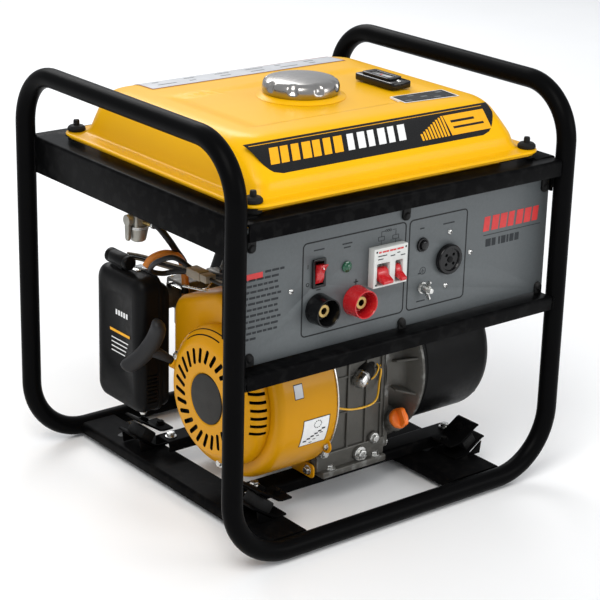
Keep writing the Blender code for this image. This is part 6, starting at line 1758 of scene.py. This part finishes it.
def make_wiring():
    """Canister, brackets and leads between the engine, the tap and the control box."""
    can = Piece("fuel_vapour_canister")
    at = Vector((-0.1660, 0.0760, 0.2520))
    can.turned([(0, 0.0), (0.0070, 0.0), (0.0082, 0.0014), (0.0084, 0.0050), (0.0080, 0.0062), (0.0084, 0.0074),
                (0.0084, 0.0330), (0.0080, 0.0342), (0.0084, 0.0354), (0.0084, 0.0400), (0.0070, 0.0414),
                (0, 0.0414)],
               at, Y, BLACK_PLASTIC, 48)
    can.block(at + Vector((-0.004, 0.012, -0.0100)), at + Vector((0.010, 0.026, -0.0065)), BLACK_PLASTIC, 0.0010)
    can.done(slot="black_plastic")

    leads = Piece("wiring_leads")
    for k, mat in enumerate((TAN_PLASTIC, HOSE, HOSE, HOSE, TAN_PLASTIC)):
        off = Vector((0.0026 * (k % 3), 0, 0.0024 * (k // 2)))
        leads.tube(catmull([Vector((-0.150, 0.110, 0.247)) + off, Vector((-0.146, 0.085, 0.2500)) + off,
                            Vector((-0.142, 0.040, 0.2530)) + off, Vector((-0.138, -0.010, 0.2580)) + off,
                            Vector((-0.132, -0.070, 0.2640)) + off, Vector((-0.128, -0.126, 0.2700)) + off], 44),
                   0.0013, mat, 10)
    leads.tube(catmull([Vector((-0.154, 0.064, 0.2500)), Vector((-0.147, 0.060, 0.2600)),
                        Vector((-0.132, 0.054, 0.2640)),
                        Vector((-0.118, 0.048, 0.2560)), Vector((-0.113, 0.046, 0.2300)),
                        Vector((-0.113, 0.047, 0.2000)),
                        Vector((-0.117, 0.052, 0.1740))], 48), 0.0042, ORANGE_WIRE, 16)
    loop = [Vector((-0.150, -0.020, 0.2700)), Vector((-0.168, -0.012, 0.284)), Vector((-0.176, 0.010, 0.274)),
            Vector((-0.170, 0.030, 0.258)), Vector((-0.152, 0.034, 0.2500)), Vector((-0.140, 0.020, 0.2540)),
            Vector((-0.136, -0.030, 0.2650)), Vector((-0.140, -0.090, 0.2760)), Vector((-0.146, -0.128, 0.2820))]
    leads.tube(catmull(loop, 72), 0.0030, HOSE, 14)
    leads.block((-0.158, -0.044, 0.2640), (-0.144, -0.020, 0.2740), TAN_PLASTIC, 0.0010)
    leads.block((-0.1575, -0.056, 0.2648), (-0.1445, -0.044, 0.2732), TAN_PLASTIC, 0.0008)
    leads.tube(catmull([Vector((-0.151, -0.055, 0.269)), Vector((-0.152, -0.080, 0.270)),
                        Vector((-0.154, -0.1270, 0.280))], 24),
               0.0020, HOSE, 10)
    leads.block((-0.1290, -0.062, 0.2640), (-0.1180, -0.040, 0.2720), SCREEN_GREY, 0.0010)
    # sleeve and leads from the alternator up into the control box
    leads.tube(catmull([Vector((0.100, -0.080, 0.2160)), Vector((0.100, -0.084, 0.2300)),
                        Vector((0.106, -0.100, 0.2440)),
                        Vector((0.116, -0.1290, 0.2560))], 28), 0.0050, HOSE, 16)
    leads.tube(catmull([Vector((0.026, -0.120, 0.2330)), Vector((0.028, -0.124, 0.2420)),
                        Vector((0.030, -0.130, 0.2520))], 12),
               0.0014, YELLOW_WIRE, 10)
    leads.done(slot="rubber")

    bracket = Piece("wiring_bracket")
    bracket.rod((-0.134, 0.020, 0.236), (-0.112, -0.030, 0.2350), 0.0014, ZINC, sides=16)
    bracket.block((-0.0800, -0.0300, 0.2474), (-0.0640, -0.0120, 0.2492), BLACK_PAINT, 0.0005)
    bracket.done(slot="steel")


def make_control_box():
    lo, hi = Vector((-0.190, -0.1822, 0.2335)), Vector((0.200, -0.130, 0.333))
    paint_node("control_box", BLACK_PAINT)
    vents = Piece("control_box_vents")
    back = Matrix.Translation((0, hi.y + 0.0012, 0)) @ facing(Y)
    for left in (-0.150, -0.020, 0.100):
        holes = [rounded_rectangle(-left - 0.060, -left, lo.z + 0.0200 + 0.0090 * k, lo.z + 0.0236 + 0.0090 * k,
                                   0.0016, 3)
                 for k in range(7)]
        vents.plate(rounded_rectangle(-left - 0.068, -left + 0.008, lo.z + 0.012, lo.z + 0.086, 0.004), 0.0010,
                    BLACK_PAINT, back, holes=holes, edge=0.0002)
    for x in (-0.180, -0.060, 0.070, 0.188):
        for z in (lo.z + 0.008, hi.z - 0.008):
            vents.screw((x, hi.y, z), Y, 0.0030, ZINC)
    vents.done(slot="frame_black")
    paint_node("inverter_module", MACHINED)


make_camera()
make_studio()
make_frame()
make_rails()
make_base()
make_tank()
make_cap()
make_gauge()
make_tank_decals()
make_panel()
make_panel_fittings()
make_shroud()
make_recoil()
make_crankcase()
make_cover()
make_cylinder()
make_alternator()
make_air_cleaner()
make_carburettor()
make_fuel_line()
make_grip()
make_exhaust()
make_wiring()
make_control_box()
